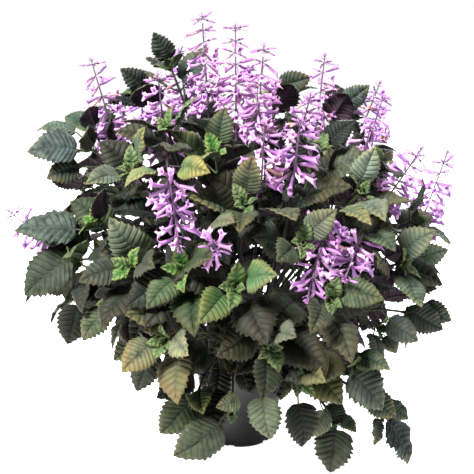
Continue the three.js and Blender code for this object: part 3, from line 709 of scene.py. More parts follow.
def leaf_underside():
    """The leaf's lower side: dark purple skin with paler raised veins, as velvety as the upper side."""
    material, add, place = new_material(
        "plum_leaf_underside", Roughness=0.7, IOR=1.4, Specular_IOR_Level=0.25, Sheen_Weight=0.04,
        Sheen_Roughness=0.45, Sheen_Tint="#B9AEB8")
    (vein, _, _), (_, youth, _) = marks_on(add, "leaf_map", "leaf_mood")
    patches = add("TexNoise", {"Vector": place, "Scale": lumps(9), "Detail": 3})
    patches = add("MapRange", {0: patches, 1: 0.3, 2: 0.7}, **SMOOTH)
    side_veins = add("Math", {0: vein, 1: 5}, operation="POWER")
    skin = coat(
        add, "#140F14", (patches, 1, "#2A1D26"), (side_veins, 1, "#40303A"), (youth, 0.8, "#3C5628"))
    hairs = add("TexNoise", {"Vector": place, "Scale": lumps(1.2), "Detail": 3})
    return finished(material, add, skin, hairs, 0.3, 0.7)


def stem_skin():
    """Young square stems: smooth skin, dark purple where the sun reaches and green between, faintly
    glossy under its hairs."""
    material, add, place = new_material(
        "purple_stem_skin", Roughness=0.5, IOR=1.42, Specular_IOR_Level=0.3, Sheen_Weight=0.08,
        Sheen_Roughness=0.4, Sheen_Tint="#D8C8D4")
    green = add("TexNoise", {"Vector": place, "Scale": lumps(60), "Detail": 2})
    green = add("MapRange", {0: green, 1: 0.48, 2: 0.62}, **SMOOTH)
    flecks = add("TexNoise", {"Vector": place, "Scale": lumps(2.5), "Detail": 3})
    skin = coat(add, "#161012", (green, 1, "#32401F"), (flecks, 0.5, "#1A1214"))
    hairs = add("TexNoise", {"Vector": place, "Scale": lumps(0.8), "Detail": 2})
    return finished(material, add, skin, hairs, 0.2, 0.6)


def lavender_petal():
    """Thin fused petals that light comes through: a lavender tube that pales towards its lips, which
    carry a few violet specks."""
    material, add, place = new_material(
        "lavender_petal", Roughness=0.6, IOR=1.38, Specular_IOR_Level=0.3, Sheen_Weight=0.3,
        Sheen_Roughness=0.5, Sheen_Tint="#F6DDFF", Subsurface_Weight=0.25, Subsurface_Scale=0.002,
        Subsurface_Radius=(1.0, 0.5, 0.9))
    (lip, along, _), (tone, pale, wilt) = marks_on(add, "petal_map", "petal_mood")
    brown = add("TexNoise", {"Vector": place, "Scale": lumps(5), "Detail": 2})
    brown = add("MapRange", {0: brown, 1: 0.3, 2: 0.6}, **SMOOTH)
    brown = add("Math", {0: wilt, 1: brown}, operation="MULTIPLY")
    specks = add("TexNoise", {"Vector": place, "Scale": lumps(0.9), "Detail": 1})
    specks = add("MapRange", {0: specks, 1: 0.62, 2: 0.68}, **SMOOTH)
    specks = add("Math", {0: specks, 1: lip}, operation="MULTIPLY")
    streaks = add("TexNoise", {"Vector": place, "Scale": lumps(3), "Detail": 3})
    skin = coat(
        add, "#783E7E", (along, 1, "#9C699D"), (lip, 1, "#A87EA8"), (tone, 0.6, "#755FA8"),
        (pale, 0.5, "#CCA2BC"), (brown, 1, "#A27C5C"), (specks, 0.6, "#6E2E9A"), (streaks, 0.3, "#AE5F9C"))
    grain = add("TexNoise", {"Vector": place, "Scale": lumps(1), "Detail": 2})
    return finished(material, add, skin, grain, 0.15, 0.5)


def calyx_skin():
    """The small cups that hold the flowers, and their stalks: dark violet and matt with short hairs."""
    material, add, place = new_material(
        "violet_calyx", Roughness=0.6, IOR=1.4, Sheen_Weight=0.3, Sheen_Roughness=0.4, Sheen_Tint="#C8B0D8")
    patches = add("TexNoise", {"Vector": place, "Scale": lumps(3), "Detail": 3})
    hairs = add("TexNoise", {"Vector": place, "Scale": lumps(0.6), "Detail": 2})
    return finished(material, add, coat(add, "#2B1530", (patches, 1, "#6A4468")), hairs, 0.15, 0.6)


def pot_plastic():
    """Injection moulded polypropylene, charcoal grey: a soft sheen, a faint moulded grain, dust, and the
    small dried splashes that watering leaves."""
    material, add, place = new_material("charcoal_polypropylene", Roughness=0.36, IOR=1.49)
    dust = add("TexNoise", {"Vector": place, "Scale": lumps(14), "Detail": 5, "Roughness": 0.6})
    dust = add("MapRange", {0: dust, 1: 0.45, 2: 0.75}, **SMOOTH)
    splashes = add("TexNoise", {"Vector": place, "Scale": lumps(2.5), "Detail": 3, "Roughness": 0.6})
    splashes = add("MapRange", {0: splashes, 1: 0.62, 2: 0.7}, **SMOOTH)
    skin = coat(add, "#171617", (dust, 0.3, "#2E2C2A"), (splashes, 0.3, "#57504A"))
    gloss = add("TexNoise", {"Vector": place, "Scale": lumps(6), "Detail": 4})
    gloss = add("MapRange", {0: gloss, 3: 0.3, 4: 0.5})
    coated(material, {"Roughness": gloss})
    grain = add("TexNoise", {"Vector": place, "Scale": lumps(0.6), "Detail": 2})
    return finished(material, add, skin, grain, 0.05, 0.4)


def potting_soil():
    """Damp peat and composted bark: crumbly, nearly black, with brown fibres."""
    material, add, place = new_material("damp_peat", Roughness=0.95, IOR=1.35)
    fibres = add("TexNoise", {"Vector": place, "Scale": lumps(3), "Detail": 6, "Roughness": 0.7})
    fibres = add("MapRange", {0: fibres, 1: 0.35, 2: 0.7}, **SMOOTH)
    crumbs = add("TexNoise", {"Vector": place, "Scale": lumps(1.5), "Detail": 6, "Roughness": 0.7})
    return finished(material, add, coat(add, "#16100C", (fibres, 1, "#4A3424")), crumbs, 1.2, 1)


def perlite():
    """Expanded perlite: chalky white volcanic grains."""
    material, add, place = new_material("perlite_grain", Roughness=0.9, IOR=1.5)
    chalk = add("TexNoise", {"Vector": place, "Scale": lumps(1), "Detail": 3})
    pores = add("TexNoise", {"Vector": place, "Scale": lumps(0.7), "Detail": 3})
    return finished(material, add, coat(add, "#B9B2A4", (chalk, 1, "#E6E2D8")), pores, 0.3, 0.8)


BLADE, UNDERSIDE, STEM_SKIN = velvet_leaf(), leaf_underside(), stem_skin()
PETAL, CALYX = lavender_petal(), calyx_skin()


# The pattern of a leaf, one unit long: a grid whose rows run along the side veins, from the rib to a tooth
# or a notch. Each kind has its teeth on a side, the columns of the grid, how wide the notches leave the
# blade, and the quilting's height
MANY_COLUMNS = [-1, -0.74, -0.42, -0.1, 0, 0.1, 0.42, 0.74, 1]
LEAF_PATTERNS = {
    "full": (9, MANY_COLUMNS, 0.88, 0.016),
    "broad": (8, MANY_COLUMNS, 0.85, 0.026),
    "young": (5, [-1, -0.5, 0, 0.5, 1], 0.8, 0.03),
}
BLADE_THICKNESS = 0.013
FOOT_WIDTH = 0.288
FOOT_LOBES = 0.03
TOOTH_ON, TOOTH_OUT = 0.016, 0.006  # how far a tooth's point stands on and out from the margin
TOOTH_DROOP = 0.008
NOTCH_PLACE = 0.34  # from one tooth to the next
RIB_GROOVE = 0.012
PUFF = 0.03  # how high each half of the blade is puffed up
RIB_VEINS = (0.03, 0.83, 1.3)  # where veins leave the rib: the first, the reach, and how they crowd
EDGE_VEINS = (0.13, 0.78, 0.95)  # and where they meet the margin
OUTLINE = np.array([(0, 0.3), (0.05, 0.72), (0.15, 0.94), (0.28, 1.02), (0.4, 1.0), (0.55, 0.88),
                    (0.7, 0.66), (0.82, 0.4), (0.92, 0.16), (1, 0)])


def half_width(y):
    return float(np.interp(y, OUTLINE[:, 0], OUTLINE[:, 1])) * BLADE_WIDTH / 2


def vein_places(veins, shares):
    first, reach, crowding = veins
    return [first + reach * share ** crowding for share in shares]


def leaf_row(row, teeth, notched):
    """A row's place on the rib and on the margin, whether it is a vein, and how far out its margin is.
    The first row is the foot, and the last two are the tip."""
    if row == 0:
        return 0.0, 0.05, 0.0, FOOT_WIDTH
    if row > 2 * teeth:
        share = (row - 2 * teeth) / 2
        return 0.93 + 0.07 * share, 0.965 + 0.035 * share, 0.0, 0.016 * (1 - share)
    vein_share = ((row - 1) // 2) / (teeth - 1)
    shares = vein_share, min(1.0, vein_share + 1 / (teeth - 1))
    on_rib, on_edge = vein_places(RIB_VEINS, shares), vein_places(EDGE_VEINS, shares)
    if row % 2:
        return on_rib[0], on_edge[0] + TOOTH_ON, 1.0, half_width(on_edge[0]) + TOOTH_OUT
    if vein_share == 1:
        return 0.9, 0.935, 0.0, half_width(0.93)
    notch = on_edge[0] + NOTCH_PLACE * (on_edge[1] - on_edge[0])
    return sum(on_rib) / 2, notch, 0.0, half_width(notch) * notched


def make_leaf_pattern(teeth, columns, notched, relief):
    rows, spaces = 2 * teeth + 2, len(columns) - 1
    deselect()
    bpy.ops.mesh.primitive_grid_add(x_subdivisions=spaces, y_subdivisions=rows, size=1)
    leaf = added("leaf_pattern")
    co, marks = positions(leaf.data), []
    for i, (x, y, _) in enumerate(co):
        u, row = columns[round((x + 0.5) * spaces)], round((y + 0.5) * rows)
        rib, margin, vein, width = leaf_row(row, teeth, notched)
        out = abs(u)
        px = math.copysign(out * width, u) if out else 0.0
        py = rib + (margin - rib) * out ** 1.2
        if row == 0:
            py = margin * out * out - FOOT_LOBES * math.sin(math.pi * min(1, out * 1.15))
        body = math.sqrt(math.sin(math.pi * min(max(py, 0.02), 0.98)))  # fades towards foot and tip
        height = BLADE_ARCH * py * (1 - py) + BLADE_FOLD * abs(px)
        if out < 1:
            height += PUFF * (1 - (2 * out - 1) ** 2) * body
        quilt = 0 if row in (0, rows) else (-relief if vein else relief)
        height += quilt * math.sin(math.pi * min(out, 0.95) ** 0.8) * body
        if out == 0:
            height -= RIB_GROOVE * body
        if vein and out == 1:
            height -= TOOTH_DROOP
        co[i] = (px, py, height)
        marks.append((1.0 if vein or out == 0 else 0.0, out, min(max(py, 0), 1)))
    set_positions(leaf.data, co)
    set_points(leaf.data, "leaf_map", marks)
    cleaned(leaf, 1e-4, outwards=False)
    leaf.data.materials.append(BLADE)
    leaf.data.materials.append(UNDERSIDE)
    blade = leaf.modifiers.new("blade", "SOLIDIFY")
    blade.thickness = BLADE_THICKNESS
    blade.offset = -1
    blade.use_rim = True
    blade.material_offset = 1
    apply_modifiers(leaf)
    bpy.ops.object.shade_smooth()
    return leaf


leaf_patterns = {kind: make_leaf_pattern(*row) for kind, row in LEAF_PATTERNS.items()}
leaf_flat = {kind: positions(pattern.data) for kind, pattern in leaf_patterns.items()}


# One leaf, in shares of its length unless it says otherwise

CURL_FROM = 0.55
MARGIN_WAVES, SWELLS_ALONG, SWELLS_ACROSS = 17, 8, 9  # radians in a leaf's length
STALK_LIFT = 0.22
USUAL_LENGTH = 60  # of a leaf whose stalk has the radii below, in millimetres
STALK_STEPS = (0, 0.25, 0.5, 0.75, 0.95)
RIB_STEPS = ((0.05, 0.014), (0.25, 0.011), (0.5, 0.009), (0.75, 0.006), (0.9, 0.003))  # and how far down
STALK_RADII = [1.5, 1.15, 1.05, 1.05, 1.1, 0.95, 0.75, 0.55, 0.38, 0.25]  # millimetres, stalk then rib
ROLLS = (1, -1, 0.5, -0.5, 0)  # the shares of its roll that a leaf tries


class Leaf:
    """One leaf: its place, and how this one differs from the pattern."""

    def __init__(self, place, mood, kind=None, narrow=1.0):
        self.place, self.mood, self.kind = place, mood, kind or chance.choice(("full", "broad"))
        self.narrow = narrow * chance.uniform(0.96, 1.1)
        self.curl = chance.uniform(-0.05, 0.22)
        self.cup = chance.uniform(-0.75, 0.25)
        self.twist = chance.uniform(-0.45, 0.45)
        self.wave = chance.uniform(0.01, 0.05)
        self.swell = chance.uniform(0.0, 0.035)
        self.phase = chance.uniform(0, 2 * math.pi)
        self.roll = chance.uniform(0.1, 0.4) * chance.choice((-1, 1))
        self.bloom = 0 if kind == "young" else chance.uniform(-0.25, 0.3)
        self.darkening = 0 if kind == "young" else max(0, chance.uniform(-0.6, 0.6))

    def bent(self, flat):
        x, y, h = flat[:, 0] * self.narrow, flat[:, 1], flat[:, 2].copy()
        h -= self.curl * np.clip(y - CURL_FROM, 0, 1) ** 2 * 2
        h += self.cup * x * x
        h += self.wave * np.sin(self.phase + y * MARGIN_WAVES) * np.abs(x) / (BLADE_WIDTH / 2)
        h += self.swell * np.sin(self.phase * 3 + y * SWELLS_ALONG) * np.cos(self.phase + x * SWELLS_ACROSS)
        turn = self.twist * y
        turned_x = x * np.cos(turn) - h * np.sin(turn) * 0.3
        turned_h = x * np.sin(turn) * 0.6 + h
        p, size = self.place, self.place["length"]
        across = p["across"] * math.cos(self.roll) + p["facing"] * math.sin(self.roll)
        facing = p["facing"] * math.cos(self.roll) - p["across"] * math.sin(self.roll)
        return (p["base"] + np.outer(turned_x, across) * size + np.outer(y, p["along"]) * size
                + np.outer(turned_h, facing) * size)

    def points(self):
        return self.bent(leaf_flat[self.kind])

    def settle(self):
        """Rolls the leaf on its stalk as far as its neighbours let it."""
        roll = self.roll
        for share in ROLLS:
            self.roll = roll * share
            if crowd.clear(self.points()):
                break
        crowd.add(self.points())

    def mesh(self):
        mesh = leaf_patterns[self.kind].data.copy()
        set_positions(mesh, self.points() * MM)
        set_points(mesh, "leaf_mood", [self.mood] * len(mesh.vertices))
        # Painted shade deep in the crown, plus the leaf's random age, darkens it towards black
        darkening = min(1, painted_shade_of(middle_of(self.place)) + self.darkening)
        set_points(mesh, "leaf_painted_shade_age_and_bloom", [(darkening, max(0, self.bloom), 0)] * len(mesh.vertices))
        return mesh

    def stalk(self):
        """The petiole from its root, and the rib that it becomes under the blade."""
        p = self.place
        bend = Bend(p["root"] - p["start"], p["root"] + p["start"] * p["length"] * STALK_LIFT, p["base"])
        path = [bend.at(t) for t in STALK_STEPS]
        sunk = RIB_GROOVE + 0.5 * BLADE_THICKNESS
        ribs = np.array([(0, y, BLADE_ARCH * y * (1 - y) - sunk - drop) for y, drop in RIB_STEPS])
        path += list(self.bent(ribs))
        return path, [r * (0.35 + 0.65 * p["length"] / USUAL_LENGTH) for r in STALK_RADII]


# What is taken, the painted shade deep in the crown, and the leaves' moods: slate or olive, youth, and rust

low_corner, high_corner = (np.array(corner) / MM for corner in cad_box)


def middle_of(place):
    return place["base"] + place["along"] * place["length"] * 0.5


class Crowd:
    """The space that is taken, in small cells, to keep what is added clear of what is there."""

    def __init__(self):
        self.taken = np.zeros(((high_corner - low_corner) / CELL + 8).astype(int), bool)

    def cells(self, points):
        cells = ((np.asarray(points) - low_corner) / CELL + 4).astype(int)
        return np.clip(cells, 1, np.array(self.taken.shape) - 2)

    def add(self, points):
        cells = self.cells(points)
        for step in np.ndindex(3, 3, 3):
            self.taken[tuple((cells + np.array(step) - 1).T)] = True

    def clear(self, points):
        return not self.taken[tuple(self.cells(points).T)].any()


def painted_shade_of(point):
    """How much of the sky the plant hides from a place, from 0 to 1, painted on leaves there as painted
    shade towards black. Leaves in the dark spots are darkened the same way.
    """
    out = unit(unit((point - CROWN_MIDDLE) / CROWN_HALF) + UP * 0.3)
    sides = across_stem(out, vec(-out[1], out[0], 0.01))
    turns = [k * math.pi / 4 for k in range(8)]
    ways = [out] + [unit(out * lean + around(sides, turn)) for lean in SHADE_LEANS for turn in turns]
    hidden = sum(not crowd.clear([point + way * s for s in SHADE_REACH]) for way in ways) / len(ways)
    return max(min(1, max(0, (hidden - SHADE_FROM) / SHADE_RANGE)), nearness(point, DARK_SPOTS))


def nearness(point, spots):
    """How much a point is in one of the spots, each a place from the front, a reach and a strength."""
    shares = [strength * max(0, 1 - math.hypot(point[0] - x, point[2] - z) / reach)
              for x, z, reach, strength in spots if point[1] < FRONT_END]
    return max(shares, default=0)


def mood_of(place, pair):
    """How blue-grey, young and tan a leaf is: bluer higher up and towards the sides, most to the right."""
    point = middle_of(place)
    slate = 0.25 + max(point[0] / 320, -point[0] / 700) + (point[2] - 420) / 450
    slate += chance.uniform(-0.35, 0.35) + nearness(point, SLATE_SPOTS) - nearness(point, RUST_SPOTS)
    slate = min(1, max(0, slate))
    youth = chance.uniform(-0.2, 0.3) if pair == 0 else chance.uniform(-0.5, 0.2)
    youth = min(1, max(0, youth + nearness(point, FRESH_SPOTS)))
    rust = chance.uniform(0, 1) * (0.5 if pair == 0 else 0.9) + nearness(point, RUST_SPOTS)
    return slate, youth, rust


crowd = Crowd()
for shoot in shoots:
    shoot.shown = [Leaf(place, mood_of(place, place["pair"])) for place in shoot.leaves]
    for leaf in shoot.shown:
        leaf.settle()


# Flowers: each whorl's florets, where they are clear of the leaves

class Floret:
    """One flower or bud. Its mood is how violet it is, more so at the sides and the back, how pale, and
    whether it has wilted."""

    def __init__(self, root, way, size, kind):
        self.root, self.way, self.size, self.kind = root, way, size, kind
        violet = chance.uniform(-0.1, 0.6) + abs(root[0]) / 420 + max(0, root[1]) / 400
        pale, wilted = chance.uniform(-0.6, 1), chance.random() < WILTED
        self.mood = min(1, max(0, violet)), max(0, pale), float(wilted)
        self.roll = chance.uniform(-0.5, 0.5)
        self.bend = chance.uniform(-0.16, 0.12), chance.uniform(-0.1, 0.22)

    def frame(self):
        level = unit(np.cross(self.way, UP + 1e-6))
        right = around((level, np.cross(level, self.way)), self.roll)
        return right, self.way, np.cross(right, self.way)

    def placed(self, flat):
        right, way, over = self.frame()
        bow = flat[:, 1] ** 2 / FLOWER_LENGTH
        flat = flat + np.outer(bow, (self.bend[0], 0, -self.bend[1]))
        return self.root + (np.outer(flat[:, 0], right) + np.outer(flat[:, 1], way)
                            + np.outer(flat[:, 2], over)) * self.size

    def spine(self):
        return [self.root + self.way * FLOWER_LENGTH * self.size * s for s in (0.35, 0.6, 0.85, 1.05)]


def grow_spike(shoot):
    foot = shoot.tip + shoot.heading * SEAT_GAP
    sway = -SPIKE_SWAY if shoot.heading[2] < 0 else SPIKE_SWAY
    onwards = unit(shoot.heading + UP * sway)
    control = foot + shoot.heading * shoot.spike / 2
    shoot.rachis = Bend(foot, control, control + onwards * shoot.spike / 2)
    length, shoot.florets = shoot.rachis.length, []
    i, reach = -1, PEDUNCLE - WHORL_STEP
    while reach + WHORL_STEP * (1 + reach / length) < length:
        i, reach = i + 1, reach + WHORL_STEP * (1 + max(0, reach) / length)
        share = reach / length
        point, way = shoot.rachis.station(share)
        directions = across_stem(way, shoot.level)
        for k in range(WHORL_FLOWERS):
            if chance.random() < FALLEN:
                continue
            for nudge in NUDGES:
                turn = (i / 2 + k) * 2 * math.pi / WHORL_FLOWERS + chance.uniform(-0.2, 0.2) + nudge
                dip = FLOWER_DIP + chance.uniform(-0.5, 0.5)
                floret_way = unit(around(directions, turn) - UP * dip + way * TIP_LEAN * share)
                size = (FLOWER_SIZE - TIP_SHRINK * share) * chance.uniform(0.9, 1.08)
                kind = "open" if share < OPEN_SHARE + chance.uniform(-0.12, 0.12) else "bud"
                if chance.random() < STRAY_BUDS:
                    kind = "bud"
                floret = Floret(point, floret_way, size, kind)
                if crowd.clear(floret.spine()):
                    shoot.florets.append(floret)
                    break


for shoot in spikes:
    grow_spike(shoot)
for shoot in spikes:
    for floret in shoot.florets:
        crowd.add(floret.spine())
for _, curve, some in stems:
    for shoot in some:
        steps = [s for s in np.linspace(0, 1, 40) if (1 - s) * shoot.curve.length > TIP_CLEAR]
        crowd.add([shoot.curve.station(s)[0] for s in steps])
    crowd.add([curve.station(s)[0] for s in np.linspace(0, 1, 20)])


# Added leaves further in, and the rosettes of young leaves at the tips

def try_leaf(shoot, choices, mood):
    """Adds a leaf at the first place where it is clear and inside the solids' box."""
    for place in choices:
        leaf = Leaf(place, mood)
        points = leaf.points()
        inside = (points.min(0) > low_corner).all() and (points.max(0) < high_corner).all()
        if inside and points[:, 2].min() > LOWEST_POINT and crowd.clear(points):
            shoot.shown.append(leaf)
            crowd.add(points)
            return


for shoot in shoots:
    for pair, face in shoot.free_faces():
        choices = leaf_choices(shoot, PAIR_STEPS[pair] + GAP_SHIFT, shoot.leaf * GAP_LEAF, face)
        try_leaf(shoot, choices, mood_of(choices[0], 1))
for i, (step, size) in enumerate(zip(INNER_STEPS, INNER_SIZES)):
    for shoot in shoots:
        if shoot.curve.length > step + INNER_MARGIN:
            for face in (1 - i % 2, 3 - i % 2):
                choices = leaf_choices(shoot, step, shoot.leaf * size, face)
                try_leaf(shoot, choices, mood_of(choices[0], 2))


# A rosette's leaves: the turn in quarters, the size as a share of the shoot's leaves, and the lean
# outwards
ROSETTE = [
    (0, 0.46, 1.4), (2, 0.42, 1.2), (1, 0.34, 0.8), (3, 0.3, 0.7),
    (0.5, 0.24, 0.45), (2.5, 0.2, 0.4), (1.5, 0.16, 0.2), (3.5, 0.14, 0.2),
]


def rosette(shoot):
    point, way = shoot.curve.station(1)
    directions = across_stem(way, shoot.level)
    freshness = nearness(point, FRESH_SPOTS)
    for turn, size, lean in ROSETTE:
        turn += 0.5 + chance.uniform(-0.25, 0.25)
        side = around(directions, shoot.turn + turn * math.pi / 2)
        along = unit(way + side * lean * chance.uniform(0.7, 1.3) - UP * 0.15)
        facing = unit(way - (way @ along) * along)
        length = shoot.leaf * size * chance.uniform(0.85, 1.1) * (1 + 0.3 * freshness)
        base = point + side + along * length * 0.12
        place = dict(root=point, base=base, across=np.cross(along, facing), along=along, facing=facing,
                     length=length, start=along)
        youth = min(1, chance.uniform(0.3, 0.65) + freshness)
        shoot.shown.append(Leaf(place, (0.1, youth, 0.0), "young", chance.uniform(0.8, 1.0)))


for shoot in shoots:
    if not shoot.spike:
        rosette(shoot)


# Stems, branches and stalks are swept with a section that tapers along them

CORNER_TURN = 0.24  # half of what a square stem's bevelled corner takes of the turn, in radians


def square_section():
    curve = bpy.data.curves.new("square_section", "CURVE")
    line = curve.splines.new("POLY")
    line.points.add(7)
    for i in range(8):
        angle = math.pi / 4 + (i // 2) * math.pi / 2 + (CORNER_TURN if i % 2 else -CORNER_TURN)
        line.points[i].co = (math.cos(angle) * MM, math.sin(angle) * MM, 0, 1)
    line.use_cyclic_u = True
    return linked("square_section", curve)


SECTION = square_section()
STEM_STEPS = 9
TIP_RADIUS, WIDENING = 1.55, 0.9  # of a branch at its tip, and what is added to that at its foot
SWELL, SWELL_REACH = 0.45, 1.8  # of a branch where leaves leave it
SWELL_STEPS = (-1.1, 0, 2.4, 6)


def swept(name, runs, square):
    """Runs are paths in millimetres with a radius at each point."""
    curve = bpy.data.curves.new(name, "CURVE")
    curve.dimensions = "3D"
    curve.use_fill_caps = True
    if square:
        curve.bevel_mode = "OBJECT"
        curve.bevel_object = SECTION
    else:
        curve.bevel_depth = MM
        curve.bevel_resolution = 1
    for path, radii in runs:
        line = curve.splines.new("POLY")
        line.points.add(len(path) - 1)
        for point, place, radius in zip(line.points, path, radii):
            point.co = (*(np.asarray(place) * MM), 1)
            point.radius = radius
        line.use_smooth = True
    only(linked(name, curve))
    bpy.ops.object.convert(target="MESH")
    thing = bpy.context.object
    thing.data.materials.clear()
    thing.data.materials.append(STEM_SKIN)
    return thing


def branch_run(shoot):
    """A branch's path and radii, which swell at each pair of leaves."""
    curve = shoot.curve
    steps = PAIR_STEPS[:shoot.pairs] + INNER_STEPS
    marks = {1.0, 0.0, *np.linspace(0.02, 0.98, 9)}
    for step in steps:
        if step < curve.length - 6:
            marks |= {1 - (step + d) / curve.length for d in SWELL_STEPS if step + d > 0}
    path, radii = [], []
    for share in sorted(marks):
        distance = (1 - share) * curve.length
        swell = max(SWELL * math.exp(-((distance - s) / SWELL_REACH) ** 2) for s in steps)
        path.append(curve.station(share)[0])
        radii.append(TIP_RADIUS + WIDENING * (1 - share) + swell)
    return path, radii


for number, (hole, curve, some) in enumerate(stems, 1):
    path = [vec(hole[0], hole[1], SOIL_TOP - ROOT_DEPTH)]
    path += [curve.station(s)[0] for s in np.linspace(0, 1, STEM_STEPS)]
    radii = [ROOT_RADIUS, *np.linspace(STEM_RADIUS, STEM_END_RADIUS, STEM_STEPS)]
    runs = [(path, radii)] + [branch_run(shoot) for shoot in some]
    stalk_runs = [leaf.stalk() for shoot in some for leaf in shoot.shown]
    parts = [swept("stems", runs, True), swept("stalks", stalk_runs, False)]
    for shoot in some:
        parts += [linked("leaf", leaf.mesh()) for leaf in shoot.shown]
    plant = joined(f"velvet_stem_{number:02d}", parts)
    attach(plant, "root")
    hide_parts(f"leafy_stem_{number:02d}")


# The patterns of an open floret and a bud, with the calyx and stalk that hold them

TUBE = [(0.0, 5.6), (1.2, 6.2), (1.6, 10), (1.8, 14.5), (2.15, 19)]  # radius and distance, millimetres
MOUTH = [  # by twelfths of a turn from the top down one side: the lips' middle and their tips
    ((0, 21.6, 2.6), (0, 23.4, 4.3)),
    ((1.3, 21.6, 2.7), (1.6, 23.6, 5.5)),
    ((2.1, 21.4, 2.1), (3.1, 23.0, 4.3)),
    ((2.3, 20.9, 0.6), (2.8, 21.8, 1.1)),
    ((2.0, 21.8, -1.2), (2.5, 24.4, -2.0)),
    ((1.4, 22.8, -2.1), (1.9, 26.0, -3.2)),
    ((0, 23.2, -2.5), (0, 26.6, -3.8)),
]
THROAT = [(0.9, 19.5), (0.0, 17)]
MOUTH_RADIUS = 2.2
PETAL_THICKNESS = 0.35
CUP_END = 6  # how far from the rachis the petals start
TUBE_SAG = 0.5
CUP_SIDES = 5
LIP_FROM = 20.5
NO_LIP = 30  # further out than a bud reaches
BUD_RADIUS = 1.25
BUD_LENGTH = 12.0
TIP_WHORLS = [(0, 0.3, 0.3), (1.5, 0.9, 0.36), (5, 1.6, 0.42)]  # buds: back from the tip, lean and size
RACHIS_STEPS = 12
RACHIS_FOOT_RADIUS, RACHIS_RADII = 1.6, (1.5, 0.7)


def floret_shape(share, row):
    """Up the outside of the tube, over the lips, and down into the throat, where it closes."""
    turn = round(share * 12)
    angle = turn * math.pi / 6
    lips = row - len(TUBE)
    if 0 <= lips < 3:
        x, y, z = MOUTH[min(turn, 12 - turn)][lips % 2]
        inner = 1 - PETAL_THICKNESS / MOUTH_RADIUS if lips == 2 else 1.0
        return (x if turn <= 6 else -x) * inner * MM, (y + 1 - inner) * MM, z * inner * MM
    radius, y = TUBE[row] if lips < 0 else THROAT[lips - 3]
    sag = -TUBE_SAG * math.sin(math.pi * (y - CUP_END) / 15)
    return radius * math.sin(angle) * MM * 0.85, y * MM, (radius * math.cos(angle) + sag) * MM


def cup(name):
    """The thin stalk of a flower and the cup that holds it: radii, depth and place in millimetres."""
    parts = []
    for part, near, far, depth, place in (("_stalk", 0.42, 0.5, 5.4, 2.7), ("_calyx", 0.7, 1.55, 3.4, 6.4)):
        deselect()
        bpy.ops.mesh.primitive_cone_add(
            vertices=CUP_SIDES, radius1=near * MM, radius2=far * MM, depth=depth * MM,
            location=(0, place * MM, 0), rotation=(-math.pi / 2, 0, 0))
        parts.append(added(name + part))
    both = joined(name, parts)
    both.data.materials.append(CALYX)
    return both


def petal_marks(thing, lip_from):
    """How far each point is up the petals, and how much of it is lip."""
    co = positions(thing.data) / MM
    along = np.clip((co[:, 1] - CUP_END) / 18, 0, 1)
    lip = np.clip((co[:, 1] - lip_from) / 2.5, 0, 1)
    set_points(thing.data, "petal_map", np.stack([lip, along, along], 1))


def make_floret():
    tube = rolled_grid("corolla", 12, len(TUBE) + 4, floret_shape)
    tube.data.materials.append(PETAL)
    petal_marks(tube, LIP_FROM)
    floret = joined("open_floret", [tube, cup("floret_cup")])
    only(floret)
    bpy.ops.object.shade_smooth()
    return floret


def make_bud():
    deselect()
    bpy.ops.mesh.primitive_uv_sphere_add(segments=6, ring_count=5, radius=1)
    bud = added("bud_tube")
    x, y, z = positions(bud.data).T
    wide = BUD_RADIUS * (1 + 0.35 * z)
    far = CUP_END + 0.5 + (z + 1) / 2 * BUD_LENGTH
    set_positions(bud.data, np.stack([x * wide, far, y * wide - 0.5 * z * z], 1) * MM)
    cleaned(bud)
    bud.data.materials.append(PETAL)
    petal_marks(bud, NO_LIP)
    whole = joined("bud", [bud, cup("bud_cup")])
    only(whole)
    bpy.ops.object.shade_smooth()
    return whole


flower_patterns = {"open": make_floret(), "bud": make_bud()}
flower_flat = {kind: positions(thing.data) / MM for kind, thing in flower_patterns.items()}


def spike_tip(shoot):
    """The small unopened whorls that end a spike: buds that point on and out."""
    point, way = shoot.rachis.station(1)
    directions = across_stem(way, shoot.level)
    for i, (back, lean, size) in enumerate(TIP_WHORLS):
        for k in range(4):
            turn = i * 0.7 + k * math.pi / 2
            bud_way = unit(way + around(directions, turn) * lean)
            shoot.florets.append(Floret(point - way * back, bud_way, size, "bud"))


for number, shoot in enumerate(spikes, 1):
    spike_tip(shoot)
    path = [shoot.tip - shoot.heading * 2]
    path += [shoot.rachis.station(s)[0] for s in np.linspace(0, 1, RACHIS_STEPS)]
    radii = [RACHIS_FOOT_RADIUS, *np.linspace(*RACHIS_RADII, RACHIS_STEPS)]
    rachis = swept("rachis", [(path, radii)], True)
    rachis.data.materials.clear()
    rachis.data.materials.append(CALYX)
    parts = [rachis]
    for floret in shoot.florets:
        mesh = flower_patterns[floret.kind].data.copy()
        set_positions(mesh, floret.placed(flower_flat[floret.kind]) * MM)
        set_points(mesh, "petal_mood", [floret.mood] * len(mesh.vertices))
        parts.append(linked("floret", mesh))
    bloom = joined(f"lavender_spike_{number:02d}", parts)
    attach(bloom, "root")
    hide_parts(f"flower_spike_{number:02d}")

for pattern in (SECTION, *leaf_patterns.values(), *flower_patterns.values()):
    bpy.data.objects.remove(pattern)


# Pot and soil

GRAINS = 110
SOIL_DIP = 1.2  # how far the middle of the soil's lumps lies below its flat top


def spun(name, profile, steps=96):
    """Turns a profile of radius and height, in millimetres, about the pot's axis."""
    mesh = bpy.data.meshes.new(name)
    points = [(r * MM, 0, z * MM) for r, z in profile]
    mesh.from_pydata(points, [(i, i + 1) for i in range(len(points) - 1)], [])
    thing = linked(name, mesh)
    only(thing)
    bpy.ops.object.mode_set(mode="EDIT")
    bpy.ops.mesh.select_all(action="SELECT")
    bpy.ops.mesh.spin(steps=steps, angle=2 * math.pi, center=(0, 0, 0), axis=(0, 0, 1))
    bpy.ops.mesh.select_all(action="SELECT")
    bpy.ops.mesh.remove_doubles(threshold=1e-5)
    bpy.ops.mesh.normals_make_consistent(inside=False)
    bpy.ops.object.mode_set(mode="OBJECT")
    return thing


